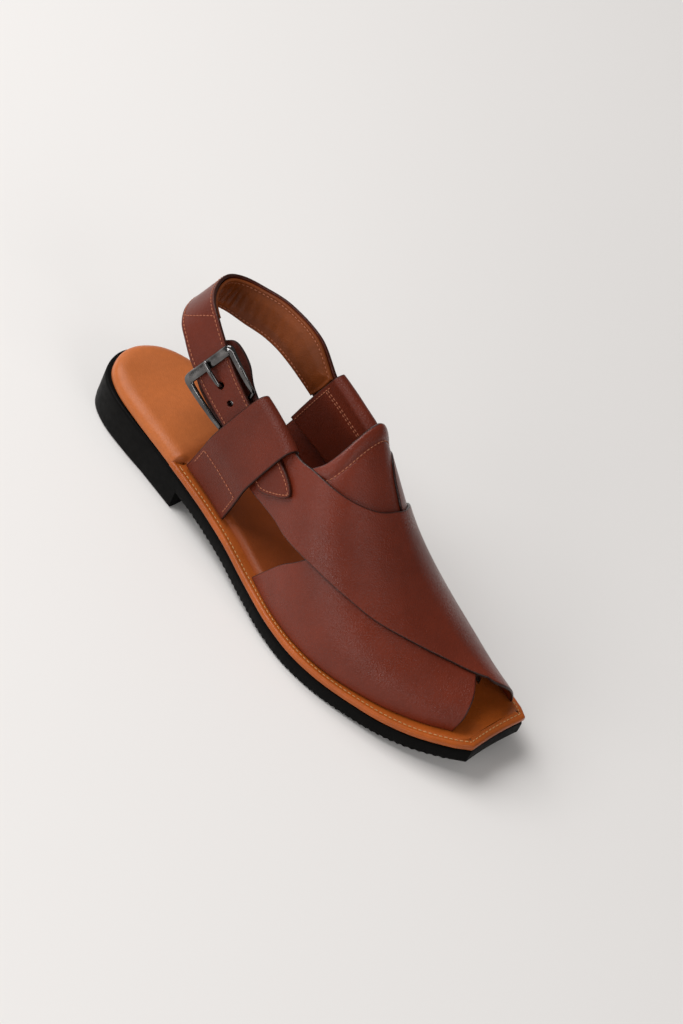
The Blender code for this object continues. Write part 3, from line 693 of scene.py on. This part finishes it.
def footbed_leather():
    """Pad leather over the heel; in front of the pad the colour is multiplied down, partly a deeper tan of
    the footbed and partly painted shade from the straps over it.
    """
    made = leather("tan_insole", PAD_TAN, 0.36, 0.5, (0.90, 1.10))
    tree = made.node_tree
    shader = tree.nodes["Principled BSDF"]
    tone = shader.inputs["Base Color"].links[0].from_socket
    split = tree.nodes.new("ShaderNodeSeparateXYZ")
    tree.links.new(tree.nodes["Texture Coordinate"].outputs["Object"], split.inputs[0])
    front = tree.nodes.new("ShaderNodeMapRange")
    front.inputs["From Min"].default_value = PAD_END + SHIFT[0] - 0.004
    front.inputs["From Max"].default_value = PAD_END + SHIFT[0] + 0.008
    tree.links.new(split.outputs["X"], front.inputs["Value"])
    # Darken the footbed in front of the pad: partly its deeper tan, partly painted shade from the straps
    # over it
    toned_and_shaded = tree.nodes.new("ShaderNodeMix")
    toned_and_shaded.data_type, toned_and_shaded.blend_type = "RGBA", "MULTIPLY"
    tree.links.new(front.outputs["Result"], toned_and_shaded.inputs["Factor"])
    tree.links.new(tone, toned_and_shaded.inputs[6])
    toned_and_shaded.inputs[7].default_value = (*FOOTBED_TONE_AND_SHADOW, 1.0)
    tree.links.new(toned_and_shaded.outputs[2], shader.inputs["Base Color"])
    return made


def leather(name, colour, roughness, grain=1.0, patch=(0.86, 1.16), edge=None, specular=0.20):
    """Smooth leather: patches of colour, darker cut edges, fine grain and faint folds."""
    m = Nodes(name)
    patches = m.spread(m.noise(26.0, 4.0, 0.6), 0.35, 0.65)
    tone = m.mix(patches, scaled(colour, patch[0]), scaled(colour, patch[1]))
    mottle = m.spread(m.noise(420.0, 2.0), 0.3, 0.7, 0.0, 0.22)
    tone = m.mix(mottle, tone, scaled(colour, 0.62))
    if edge:
        mark = m.add("ShaderNodeAttribute", attribute_name="edge_mm")
        tone = m.mix(m.spread(mark.outputs["Fac"], 0.25, 1.0), edge, tone)
    m.join(tone, m.shader.inputs["Base Color"])
    worn = m.spread(m.noise(60.0, 3.0), 0.3, 0.7, roughness - 0.05, roughness + 0.08)
    m.join(worn, m.shader.inputs["Roughness"])
    cells = m.add("ShaderNodeTexVoronoi", feature="SMOOTH_F1")
    cells.inputs["Scale"].default_value = 1350.0
    m.join(m.place, cells.inputs["Vector"])
    folds = m.bump(m.noise(90.0, 3.0), 0.0007 * grain, 0.16)
    fine = m.bump(m.noise(2400.0, 2.0), 0.00018 * grain, 0.8, folds)
    m.join(m.bump(cells.outputs["Distance"], 0.00020 * grain, 0.8, fine), m.shader.inputs["Normal"])
    m.set(Specular_IOR_Level=specular)
    return m.made


def rubber():
    m = Nodes("black_rubber")
    tone = m.mix(m.spread(m.noise(40.0, 4.0), 0.35, 0.7), DARK_RUBBER, LIGHT_RUBBER)
    m.join(tone, m.shader.inputs["Base Color"])
    m.join(m.spread(m.noise(300.0, 3.0), 0.3, 0.7, 0.42, 0.58), m.shader.inputs["Roughness"])
    m.join(m.bump(m.noise(900.0, 3.0), 0.0001, 0.5), m.shader.inputs["Normal"])
    m.set(Specular_IOR_Level=0.05)
    return m.made


def thread(name, colour):
    m = Nodes(name)
    wave = m.add("ShaderNodeTexWave", bands_direction="DIAGONAL")
    wave.inputs["Scale"].default_value = 900.0
    m.join(m.place, wave.inputs["Vector"])
    m.join(m.mix(wave.outputs["Fac"], scaled(colour, 0.7), colour), m.shader.inputs["Base Color"])
    m.join(m.bump(wave.outputs["Fac"], 0.0001, 0.5), m.shader.inputs["Normal"])
    m.set(Roughness=0.6, Specular_IOR_Level=0.3)
    return m.made


def gunmetal(name):
    m = Nodes(name)
    tone = m.mix(m.spread(m.noise(140.0, 3.0), 0.35, 0.65), DARK_METAL, LIGHT_METAL)
    m.join(tone, m.shader.inputs["Base Color"])
    m.join(m.spread(m.noise(500.0, 4.0, 0.6), 0.3, 0.7, 0.08, 0.20), m.shader.inputs["Roughness"])
    m.join(m.bump(m.noise(260.0, 2.0), 0.00015, 0.25), m.shader.inputs["Normal"])
    m.set(Metallic=1.0)
    return m.made


# Pieces of the upper


def strap_sheet(name, table, wall, material):
    """Strap of the vamp between the two edges of its table, lying on the last."""
    at = np.linspace(0, len(table) - 1, 180)
    shares = edged(44, VAMP_WIDTH)
    ends = np.array((0.0, 0.015, 0.04, 0.08))
    at = np.unique(np.concatenate((ends, at, len(table) - 1 - ends)))
    read = spline(table, at)
    along = read[:, :1] + (read[:, 2:3] - read[:, :1]) * shares
    turn = np.clip(read[:, 1:2] + (read[:, 3:4] - read[:, 1:2]) * shares, 0, 180)
    lift = np.broadcast_to(read[:, 4:5] * OVER_LIFT, along.shape)
    grid, normals = on_last(along, turn, lift), last_normal(along, turn)
    made = shell(name, grid, normals, 0.0, wall, material)
    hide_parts("upper")


def make_tongue(material):
    """Tongue with its rolled collar; returns the line and the normals of the seam under the collar."""
    read = spline(TONGUE, np.linspace(0, len(TONGUE) - 1, 120))
    length = (read[:, 2] - read[:, 1]) * LENGTH * 1000
    rim, collar, front = np.linspace(0, 2.2, 12), np.linspace(2.2, 14, 40), np.linspace(14, 24, 8)
    distances = np.unique(np.concatenate((rim, collar, front)))[None, :] * np.ones((len(read), 1))
    rest = np.linspace(0.1, 1.0, 12)[None, :] * (length[:, None] - 24) + 24
    distances = np.concatenate((distances, np.maximum(rest, 24.05)), axis=1)
    along = read[:, 1:2] + distances / 1000 / LENGTH
    turn = np.broadcast_to(read[:, :1], along.shape)
    low, high = (reading(TONGUE_SECTION, column)(distances) / 1000 for column in (1, 2))
    grid, normals = on_last(along, turn), last_normal(along, turn)
    made = shell("tongue", grid, normals, low, high, material, rounding=0.0003)
    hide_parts("upper")
    read = spline(TONGUE, np.linspace(0.15, len(TONGUE) - 1.4, 400))
    along, turn = read[:, 1] + COLLAR_SEAM / 1000 / LENGTH, read[:, 0]
    return on_last(along, turn, 0.0009), last_normal(along, turn)


def loop_surface(name, at, across, out=0.0):
    """Points and normals of a loop's inner face, by row of its path and share across it."""
    side, rear_foot, front_foot, fold, front_rake = LOOPS[name]
    room = (OVER_WALL if side > 0 else WALL) + STRAP_WALL + LOOP_ROOM

    def surface(rows, places):
        path = spline(LOOP_PATH, rows)
        turn = path[..., 0] * fold
        rake = front_rake + (LOOP_RAKE - front_rake) * places
        along = front_foot + (rear_foot - front_foot) * places + rake * turn
        return on_last(along, turn if side > 0 else 180 - turn, path[..., 1] * room)

    at, across = np.broadcast_arrays(np.asarray(at, float), np.asarray(across, float))
    points = surface(at, across)
    run = surface(at + 0.05, across) - surface(at - 0.05, across)
    wide = surface(at, across + 0.02) - surface(at, across - 0.02)
    normals = unit(np.cross(wide, run)) * (-side)
    return points + out * normals, normals


def make_loop(name, material):
    lip = 0 if LOOPS[name][0] < 0 else SHORT_LIP
    at = np.linspace(0, len(LOOP_PATH) - 1 - lip, 150)
    shares = edged(22, LOOP_WIDTH)
    grid, normals = loop_surface(name, at[:, None], shares[None, :])
    made = shell(name, grid, normals, 0.0, LOOP_WALL, material)
    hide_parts(name)


# Pieces of the strap


def tip_shares(at):
    """Share of the strap's width at each row: pointed at its tip, slimmer up to the buckle."""
    line = strap_lines(np.array((0.0,)))[:, 0]
    away = np.linalg.norm(spline(line, at) - line[0], axis=-1)
    slim = np.clip((SLIM_END - np.asarray(at)) / SLIM_ROWS, 0, 1)
    point = np.maximum(np.minimum(away / TIP_LENGTH, 1.0), 0.004) ** 0.6
    return point * (1 - SLIM_SHARE * slim * slim * (3 - 2 * slim))


def make_strap(material):
    at = np.unique(np.concatenate((np.linspace(0, 1, 30) ** 1.6, np.linspace(1, STRAP_END_ROW, 330))))
    half = STRAP_WIDTH / 2 * tip_shares(at)
    shares = 1 - 2 * edged(18, STRAP_WIDTH)
    grid, normals = strap_grid(at, half[:, None] * shares[None, :])
    made = shell("heel_strap", grid, normals, 0.0, STRAP_WALL, material, seam=STRAP_SEAM)
    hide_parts("heel_strap")
    for row, diameter in ((PRONG_ROW, HOLE_DIAMETER + 2 * GAP), (SPARE_ROW, HOLE_DIAMETER)):
        point, normal = strap_grid(np.array((row,)), np.zeros((1, 1)))
        bpy.ops.mesh.primitive_cylinder_add(vertices=32, radius=diameter / 2, depth=0.008)
        cutter = bpy.context.object
        cutter.rotation_mode = "QUATERNION"
        cutter.rotation_quaternion = Vector(normal[0, 0]).to_track_quat("Z", "Y")
        cutter.location = point[0, 0] + SHIFT
        cut = made.modifiers.new("hole", "BOOLEAN")
        cut.operation, cut.solver, cut.object = "DIFFERENCE", "EXACT", cutter
        bpy.context.view_layer.objects.active = made
        bpy.ops.object.modifier_apply(modifier="hole")
        bpy.data.objects.remove(cutter, do_unlink=True)


def make_lining(material):
    half = STRAP_WIDTH / 2 - LINING_INSET
    shares = 1 - 2 * edged(24, STRAP_WIDTH)
    end = LINING_END + LINING_SLANT * (shares - 1)
    at = LINING_START + (end - LINING_START) * edged(230, 0.2)[:, None]
    grid, normals = strap_grid(at, half * shares[None, :] * np.ones((len(at), 1)))
    away = edge_distance(grid)
    crown = np.clip((away - 0.0024) / 0.005, 0, 1)
    crown = crown * crown * (3 - 2 * crown)
    bend = np.exp(-(((at - FOLD_ROW) / 0.9) ** 2)) + 0.25
    fold = np.sin(at * 17.0 + 1.5 * shares) + 0.7 * np.sin(at * 29.0 + 1.3) * shares
    channel = 0.0003 * np.exp(-(((away - 0.002) / 0.0007) ** 2))
    swell = crown * (PADDING + FOLD_DEPTH * bend * fold) - channel
    inner = -GAP - LINING_WALL - swell
    made = shell("strap_lining", grid, normals, inner, -GAP * np.ones_like(inner), material, rounding=0.0012)
    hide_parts("strap_lining")


def make_tab(material):
    inner = -GAP - BUCKLE_HINGE - GAP - TAB_WALL
    read = spline(TAB, np.linspace(0, len(TAB) - 1, 90))
    shares = edged(16, TAB_WIDTH)
    low, high = -TAB_WIDTH / 2 * read[:, 1:2], TAB_WIDTH / 2 * read[:, 2:3]
    grid, normals = strap_grid(read[:, 0], high + (low - high) * shares[None, :])
    made = shell("buckle_tab", grid, normals, inner, inner + TAB_WALL, material)
    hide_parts("buckle_tab")


def buckle_out(at):
    """Distance of the buckle's frame out from the strap's inner face."""
    bar = STRAP_WALL + GAP + BUCKLE_BAR * 0.32
    hinge = -GAP - BUCKLE_HINGE / 2
    share = (at - HINGE_ROW) / (BAR_ROW - HINGE_ROW)
    return hinge + (bar - hinge) * np.clip(share, 0.0, 1.0) ** 0.8


def strap_place(row, across, out):
    """Points by strap row, distance across and distance out from the inner face, with their normals."""
    point, normal = strap_grid(np.atleast_1d(row), np.atleast_1d(across)[:, None])
    return point[:, 0] + np.atleast_1d(out)[:, None] * normal[:, 0], normal[:, 0]


def make_buckle(material):
    half_bar = STRAP_WIDTH / 2 + BUCKLE_CLEAR + BUCKLE_ARM / 2
    half_hinge = STRAP_WIDTH / 2 + BUCKLE_CLEAR + BUCKLE_HINGE / 2
    ring = [(BAR_ROW, across * half_bar, BUCKLE_BAR) for across in np.linspace(-0.86, 0.86, 5)]
    ring.append((BAR_ROW - 0.042, half_bar * 0.97, BUCKLE_BAR * 0.9))
    for share in np.linspace(0.12, 0.94, 6):
        thick = BUCKLE_ARM * 1.2 + (BUCKLE_HINGE - BUCKLE_ARM * 1.2) * share
        row = BAR_ROW + (HINGE_ROW - BAR_ROW) * share
        ring.append((row, half_bar + (half_hinge - half_bar) * share, thick))
    ring += [(HINGE_ROW, across * half_hinge, BUCKLE_HINGE) for across in np.linspace(0.92, -0.92, 5)]
    ring += [(row, -across, thick) for row, across, thick in ring[10:4:-1]]
    count = len(ring)
    looped = np.array(ring[-2:] + ring + ring[:3])
    read = spline(looped, np.linspace(2, count + 2, count * 7 + 1)[:-1])
    turned = BUCKLE_SKEW * read[:, 1] / half_bar * (read[:, 0] - HINGE_ROW) / (BAR_ROW - HINGE_ROW)
    centres, outs = strap_place(read[:, 0] + turned, read[:, 1], buckle_out(read[:, 0]))
    made = tube("buckle_frame", centres, outs, read[:, 2], read[:, 2] * 0.64, material, True, 20, 2.8)
    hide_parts("buckle_frame")


def make_prong(material):
    under = -GAP - PRONG_DIAMETER / 2
    over_strap = STRAP_WALL + GAP + PRONG_DIAMETER / 2
    over_bar = buckle_out(BAR_ROW) + BUCKLE_BAR * 0.32 + GAP + PRONG_DIAMETER / 2
    route = np.array((
        (HINGE_ROW + 0.20, under),
        (PRONG_ROW - 0.16, under),
        (PRONG_ROW - 0.04, under * 0.8),
        (PRONG_ROW, 0.0),
        (PRONG_ROW, STRAP_WALL),
        (PRONG_ROW + 0.06, over_strap * 1.1),
        (PRONG_ROW + 0.24, over_strap * 1.5),
        (BAR_ROW - 0.22, over_bar * 0.92),
        (BAR_ROW, over_bar),
        (BAR_ROW + 0.16, over_bar * 0.98),
    ))
    read = spline(route, np.linspace(0, len(route) - 1, 70))
    centres, normals = strap_place(read[:, 0], np.zeros(len(read)), read[:, 1])
    side = np.cross(np.gradient(centres, axis=0), normals)
    outs = np.cross(side, np.gradient(centres, axis=0))
    share = np.linspace(0, 1, len(read))
    taper = np.sqrt(np.clip((1 - share) * 14, 0.05, 1.0))
    flat = 1 + 0.25 * (share > 0.6) * np.sin(np.clip((share - 0.6) / 0.4, 0, 1) * pi)
    height = PRONG_DIAMETER * taper
    made = tube("buckle_prong", centres, outs, height * flat, height, material, False, 14)
    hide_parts("buckle_prong")


# Pieces of the sole


def plan(stations, inset, corner_cut, front_steps=24, end=1.0):
    """Closed outline from the first station to the toe, moved in by a distance at each point."""
    stations = np.asarray(stations, float)
    whole = stations[0] == 0
    lateral, medial = half_widths(stations)
    toe_low, toe_high = half_widths(np.array(end))
    shares = np.linspace(corner_cut, 1 - corner_cut, front_steps + 1)
    toe = end * LENGTH - TOE_HOLLOW * 4 * shares * (1 - shares)
    front = np.stack((toe, toe_low + (toe_high - toe_low) * shares, shares), 1)
    left = np.stack((stations * LENGTH, lateral, np.zeros_like(stations)), 1)
    right = np.stack((stations * LENGTH, medial, np.ones_like(stations)), 1)[::-1]
    if whole:
        right = right[:-1]
    loop = np.concatenate((left, front, right))
    before, after = np.roll(loop, 1, axis=0), np.roll(loop, -1, axis=0)

    def normal(start, end):
        step = unit(end[:, :2] - start[:, :2])
        return np.stack((-step[:, 1], step[:, 0]), 1)

    mean = normal(before, loop) + normal(loop, after)
    size = np.linalg.norm(mean, axis=1)
    along = loop[:, 0] / LENGTH
    distance = inset(along, loop[:, 2]) / np.maximum(size / 2, 0.6) / size
    moved = loop[:, :2] + mean * distance[:, None]
    moved[:, 0] = np.minimum(moved[:, 0], end * LENGTH - np.maximum(inset(along, loop[:, 2]), 0.0))
    return moved, along


def layer(name, stations, rings, material, corner_cut, end=1.0):
    """Closed layer of the sole: rings from bottom to top, each an inset and a height along the length."""
    points = []
    for inset, height in rings:
        flat, along = plan(stations, inset, corner_cut, end=end)
        points.append(np.column_stack((flat, height(along))))
    size, count = len(points[0]), len(stations)
    points = np.concatenate(points)
    faces = []
    for ring in range(len(rings) - 1):
        for i in range(size):
            low, after = ring * size + i, ring * size + (i + 1) % size
            faces.append((low, after, after + size, low + size))
    whole = stations[0] == 0
    for base, turned in ((0, True), (size * (len(rings) - 1), False)):
        left = [base + i for i in range(count)]
        right = [base + size - 1 - i for i in range(count - whole)]
        if whole:
            right.insert(0, left[0])
        cap = []
        for i in range(count - 1):
            cap.append(tuple(dict.fromkeys((left[i], left[i + 1], right[i + 1], right[i]))))
        cap.append(tuple(range(left[-1], right[-1] + 1)))
        faces += [face[::-1] for face in cap] if turned else cap
    return add_piece(name, points, faces, material)


def constant(value):
    return lambda along, side: value + 0 * along


def make_outsole(material):
    breast = HEEL_LENGTH / LENGTH
    heel = breast * np.linspace(0, 1, 60) ** 2
    front = np.arange(HEEL_LENGTH + GAP, TOE_STATION * LENGTH, TEETH_PITCH / 6) / LENGTH
    stations = np.concatenate((heel, front))

    def floor(along):
        return np.where(along <= breast + 1e-6, 0.0, np.maximum(rubber_top(along) - SOLE_THICKNESS, 0.0))

    def teeth(along):
        on = np.clip((along - breast - 0.02) / 0.03, 0, 1) * (along < 0.99)
        return on * 0.5 * (1 - np.cos(2 * pi * along * LENGTH / TEETH_PITCH))

    def flare(along):
        return HEEL_FLARE * np.maximum(1 - along * LENGTH / HEEL_FLARE_END, 0.0)

    def ring(inset, base, rise, notch, cut):
        def height(along):
            return (floor(along) if base == "floor" else rubber_top(along)) + rise + cut * teeth(along)

        return lambda along, side: inset - flare(along) + notch * teeth(along), height

    rings = [ring(*row) for row in RUBBER_EDGE]
    made = layer("outsole", stations, rings, material, TOE_CUT)
    made.data.set_sharp_from_angle(angle=radians(42))
    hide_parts("outsole")


def make_welt(material):
    stations = np.linspace((PAD_END + GAP) / LENGTH, TOE_STATION, 260)

    def height(share):
        return lambda along: rubber_top(along) + GAP + WELT_THICKNESS * share

    rings = [(constant(inset), height(share)) for inset, share in WELT_EDGE]
    made = layer("welt", stations, rings, material, TOE_CUT)
    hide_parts("welt")


def pad_turn(along):
    """Share of the way from the heel pad down to the footbed."""
    share = np.clip((along * LENGTH - PAD_END) / PAD_TURN, 0.0, 1.0)
    return share * share * (3 - 2 * share)


def footbed_inset(along, side):
    """Inset of the footbed's edge, clear of the straps' feet."""
    lateral, medial = READ_LAST[1](along), READ_LAST[2](along)
    return np.maximum(INSOLE_INSET, (lateral + (medial - lateral) * side) * LENGTH + INSOLE_CLEAR)


def make_insole(material):
    heel = PAD_END / LENGTH * np.linspace(0, 1, 60) ** 2
    front = np.linspace((PAD_END + GAP) / LENGTH, FOOTBED_END - 0.02, 240)
    stations = np.concatenate((heel, front))

    def bottom(along):
        forward = np.where(along * LENGTH <= PAD_END + GAP / 2, 0.0, WELT_THICKNESS * 0.5)
        return rubber_top(along) + GAP + forward

    def top(along):
        thin = np.clip((along - THINNING_START) / THINNING_LENGTH, 0.0, 1.0)
        thin = thin * thin * (3 - 2 * thin)
        forward = WELT_THICKNESS + INSOLE_THICKNESS - (INSOLE_THICKNESS + 2 * GAP) * thin
        return rubber_top(along) + GAP + PAD_THICKNESS + (forward - PAD_THICKNESS) * pad_turn(along)

    def height(share):
        return lambda along: bottom(along) + (top(along) - bottom(along)) * share

    def inset(pad, footbed):
        return lambda along, side: pad + (footbed_inset(along, side) + footbed - pad) * pad_turn(along)

    rings = [(inset(0.0012, 0.0003), height(0.0)), (inset(0.0002, 0.0), height(0.12))]
    for share in np.linspace(0.08, 1.0, 12):
        angle = share * pi / 2
        rise = 0.16 + 0.84 * sin(angle)
        reach = 1 - cos(angle)
        rings.append((inset(0.0002 + 0.0085 * reach**1.25, 0.0045 * reach), height(rise)))
    made = layer("insole", stations, rings, material, INSOLE_CUT, FOOTBED_END)
    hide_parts("insole")


# Seams


def seam(name, line, normals, material, size=STITCH_SIZE, sink=0.0):
    """One seam as small rounded stitches along a line."""
    pitch, length, radius = size
    line, normals = np.asarray(line), np.asarray(normals)
    walked = np.concatenate(((0.0,), np.cumsum(np.linalg.norm(np.diff(line, axis=0), axis=1))))
    count = max(int(walked[-1] / pitch), 1)
    middles = (np.arange(count) + 0.5) * walked[-1] / count
    profile = np.array(STITCH)
    sides = 6
    angles = 2 * pi * np.arange(sides) / sides
    points, faces = [], []
    for middle in middles:
        at = middle + profile[:, 0] * length
        centre = np.stack([np.interp(at, walked, line[:, k]) for k in range(3)], 1)
        up = unit(np.stack([np.interp(at, walked, normals[:, k]) for k in range(3)], 1))
        run = unit(centre[-1:] - centre[:1])
        side = unit(np.cross(up, run))
        bow = radius * (0.55 - 1.6 * (profile[:, 0] / 0.5) ** 4) - sink
        centre = centre + up * bow[:, None]
        start = len(points)
        for i in range(len(profile)):
            for angle in angles:
                away = cos(angle) * side[i] + 0.8 * sin(angle) * up[i]
                points.append(centre[i] + radius * profile[i, 1] * away)
        for i in range(len(profile) - 1):
            for k in range(sides):
                a, b = start + i * sides + k, start + i * sides + (k + 1) % sides
                faces.append((a, b, b + sides, a + sides))
        faces.append(tuple(range(start, start + sides))[::-1])
        end = start + (len(profile) - 1) * sides
        faces.append(tuple(range(end, end + sides)))
    add_piece(name, points, faces, material)


def loop_seam(name, label, places, material):
    """Seam on a loop through places (row of its path, share across)."""
    places = np.array(places, float)
    read = []
    for start, end in zip(places, places[1:]):
        read.append(start + (end - start) * np.linspace(0, 1, 40)[:, None])
    read = np.concatenate(read)
    points, normals = loop_surface(name, read[:, 0], read[:, 1], LOOP_WALL)
    seam(f"{name}_{label}", points, normals, material)


def strap_seams(material):
    """Seams near both edges of the strap and of its lining."""
    for label, side in (("lower", -1), ("upper", 1)):
        at = np.concatenate((np.linspace(0.06, 1, 60), np.linspace(1, STRAP_END_ROW - 0.2, 700)[1:]))
        half = np.maximum(STRAP_WIDTH / 2 * tip_shares(at) - STRAP_SEAM, 0.0004)
        points, normals = strap_place(at, side * half, STRAP_WALL - 0.0001)
        seam(f"strap_stitch_{label}", points, normals, material)
        at = np.linspace(LINING_START + 0.1, LINING_END - 0.1 - LINING_SLANT * (1 - side), 400)
        across = side * (STRAP_WIDTH / 2 - LINING_SEAM)
        points, normals = strap_place(at, np.full(len(at), across), -GAP - LINING_WALL + 0.0003)
        seam(f"lining_stitch_{label}", points, -normals, material)


def cross_seam(material):
    """Slanted seam across the strap behind the buckle."""
    (low_row, low), (high_row, high) = CROSS_SEAM
    share = np.linspace(0, 1, 80)
    rows, across = low_row + (high_row - low_row) * share**0.8, low + (high - low) * share
    points, normals = strap_place(rows, across, STRAP_WALL)
    seam("strap_cross_stitch", points, normals, material)


def welt_seam(material):
    stations = np.linspace((PAD_END + 0.004) / LENGTH, TOE_STATION, 400)
    flat, along = plan(stations, constant(WELT_SEAM), TOE_CUT, 60)
    points = np.column_stack((flat, rubber_top(along) + GAP + WELT_THICKNESS * 0.93))
    normals = np.broadcast_to((0.0, 0.0, 1.0), points.shape)
    seam("welt_stitch", points, normals, material, WELT_STITCH_SIZE)


# Camera, stage and lights


def make_camera():
    a, e, roll = radians(AZIMUTH), radians(ELEVATION), radians(ROLL)
    back = np.array((sin(a) * cos(e), -cos(a) * cos(e), sin(e)))
    right = np.array((cos(a), sin(a), 0.0))
    up = np.cross(back, right)
    turned = cos(roll) * right + sin(roll) * up
    top = -sin(roll) * right + cos(roll) * up
    place = np.array(AIM) + DISTANCE * back
    place = place - (OFFSET[0] * turned - OFFSET[1] * top) / PIXELS_PER_MM
    place = place / 1000 + SHIFT
    data = bpy.data.cameras.new("camera")
    data.sensor_width = SENSOR
    data.lens = PIXELS_PER_MM * DISTANCE / FRAME_HEIGHT * SENSOR
    data.clip_start, data.clip_end = 0.1, 20.0
    camera = bpy.data.objects.new("camera", data)
    rows = [(turned[i], top[i], back[i], place[i]) for i in range(3)]
    camera.matrix_world = Matrix(rows + [(0, 0, 0, 1)])
    bpy.context.scene.collection.objects.link(camera)
    bpy.context.scene.camera = camera


def make_stage():
    mesh = bpy.data.meshes.new("floor")
    reach = FLOOR_REACH
    corners = [(-reach, -reach, 0), (reach, -reach, 0), (reach, reach, 0), (-reach, reach, 0)]
    mesh.from_pydata(corners, [], [(0, 1, 2, 3)])
    floor = link("floor", mesh)
    paint = bpy.data.materials.new("floor")
    paint.use_nodes = True
    shader = paint.node_tree.nodes["Principled BSDF"]
    shader.inputs["Base Color"].default_value = (*FLOOR, 1)
    shader.inputs["Roughness"].default_value = 0.9
    shader.inputs["Specular IOR Level"].default_value = 0.0
    mesh.materials.append(paint)
    world = bpy.data.worlds.new("studio")
    bpy.context.scene.world = world
    world.use_nodes = True
    world.node_tree.nodes["Background"].inputs["Color"].default_value = (*SKY, 1)
    world.node_tree.nodes["Background"].inputs["Strength"].default_value = SKY_STRENGTH


def light(name, place, aim, size, power):
    data = bpy.data.lights.new(name, "AREA")
    data.shape = "RECTANGLE"
    data.size, data.size_y = size
    data.energy = power
    lamp = bpy.data.objects.new(name, data)
    lamp.location = place
    lamp.rotation_mode = "QUATERNION"
    lamp.rotation_quaternion = (Vector(place) - Vector(aim)).to_track_quat("Z", "Y")
    bpy.context.scene.collection.objects.link(lamp)


make_camera()
make_stage()
for panel in LIGHTS:
    light(*panel)

red = leather("red_brown_leather", RED_BROWN, 0.30, edge=(0.020, 0.006, 0.004), specular=0.30)
loop_red = leather("loop_leather", LOOP_BROWN, 0.34, 1.2, edge=(0.018, 0.005, 0.003))
strap_red = leather("strap_leather", LOOP_BROWN, 0.34, 0.8, edge=(0.035, 0.008, 0.004))
dark = leather("tab_leather", DEEP_BROWN, 0.5, 1.2, edge=(0.015, 0.005, 0.004))
lining = leather("tan_lining", LINING_TAN, 0.45, 0.8, (0.8, 1.12))
pad = footbed_leather()
welt_tan = leather("tan_welt", WELT_TAN, 0.28, 0.4, (0.85, 1.15), specular=0.26)
black = rubber()
metal, metal_prong = gunmetal("gunmetal"), gunmetal("gunmetal_prong")
brown_thread = thread("brown_thread", BROWN_THREAD)
cream_thread = thread("cream_thread", CREAM_THREAD)

make_outsole(black)
make_welt(welt_tan)
make_insole(pad)
strap_sheet("under_strap", UNDER_STRAP, WALL, red)
strap_sheet("over_strap", OVER_STRAP, OVER_WALL, red)
collar_line, collar_normals = make_tongue(red)
seam("collar_stitch", collar_line, collar_normals, brown_thread, sink=0.0001)
for loop_name in LOOPS:
    make_loop(loop_name, loop_red)
make_strap(strap_red)
make_lining(lining)
make_tab(dark)
make_buckle(metal)
make_prong(metal_prong)
strap_seams(brown_thread)
cross_seam(brown_thread)
for loop_name, label, places in LOOP_SEAMS:
    loop_seam(loop_name, label, places, brown_thread)
welt_seam(cream_thread)

bpy.context.scene.view_settings.view_transform = "Standard"
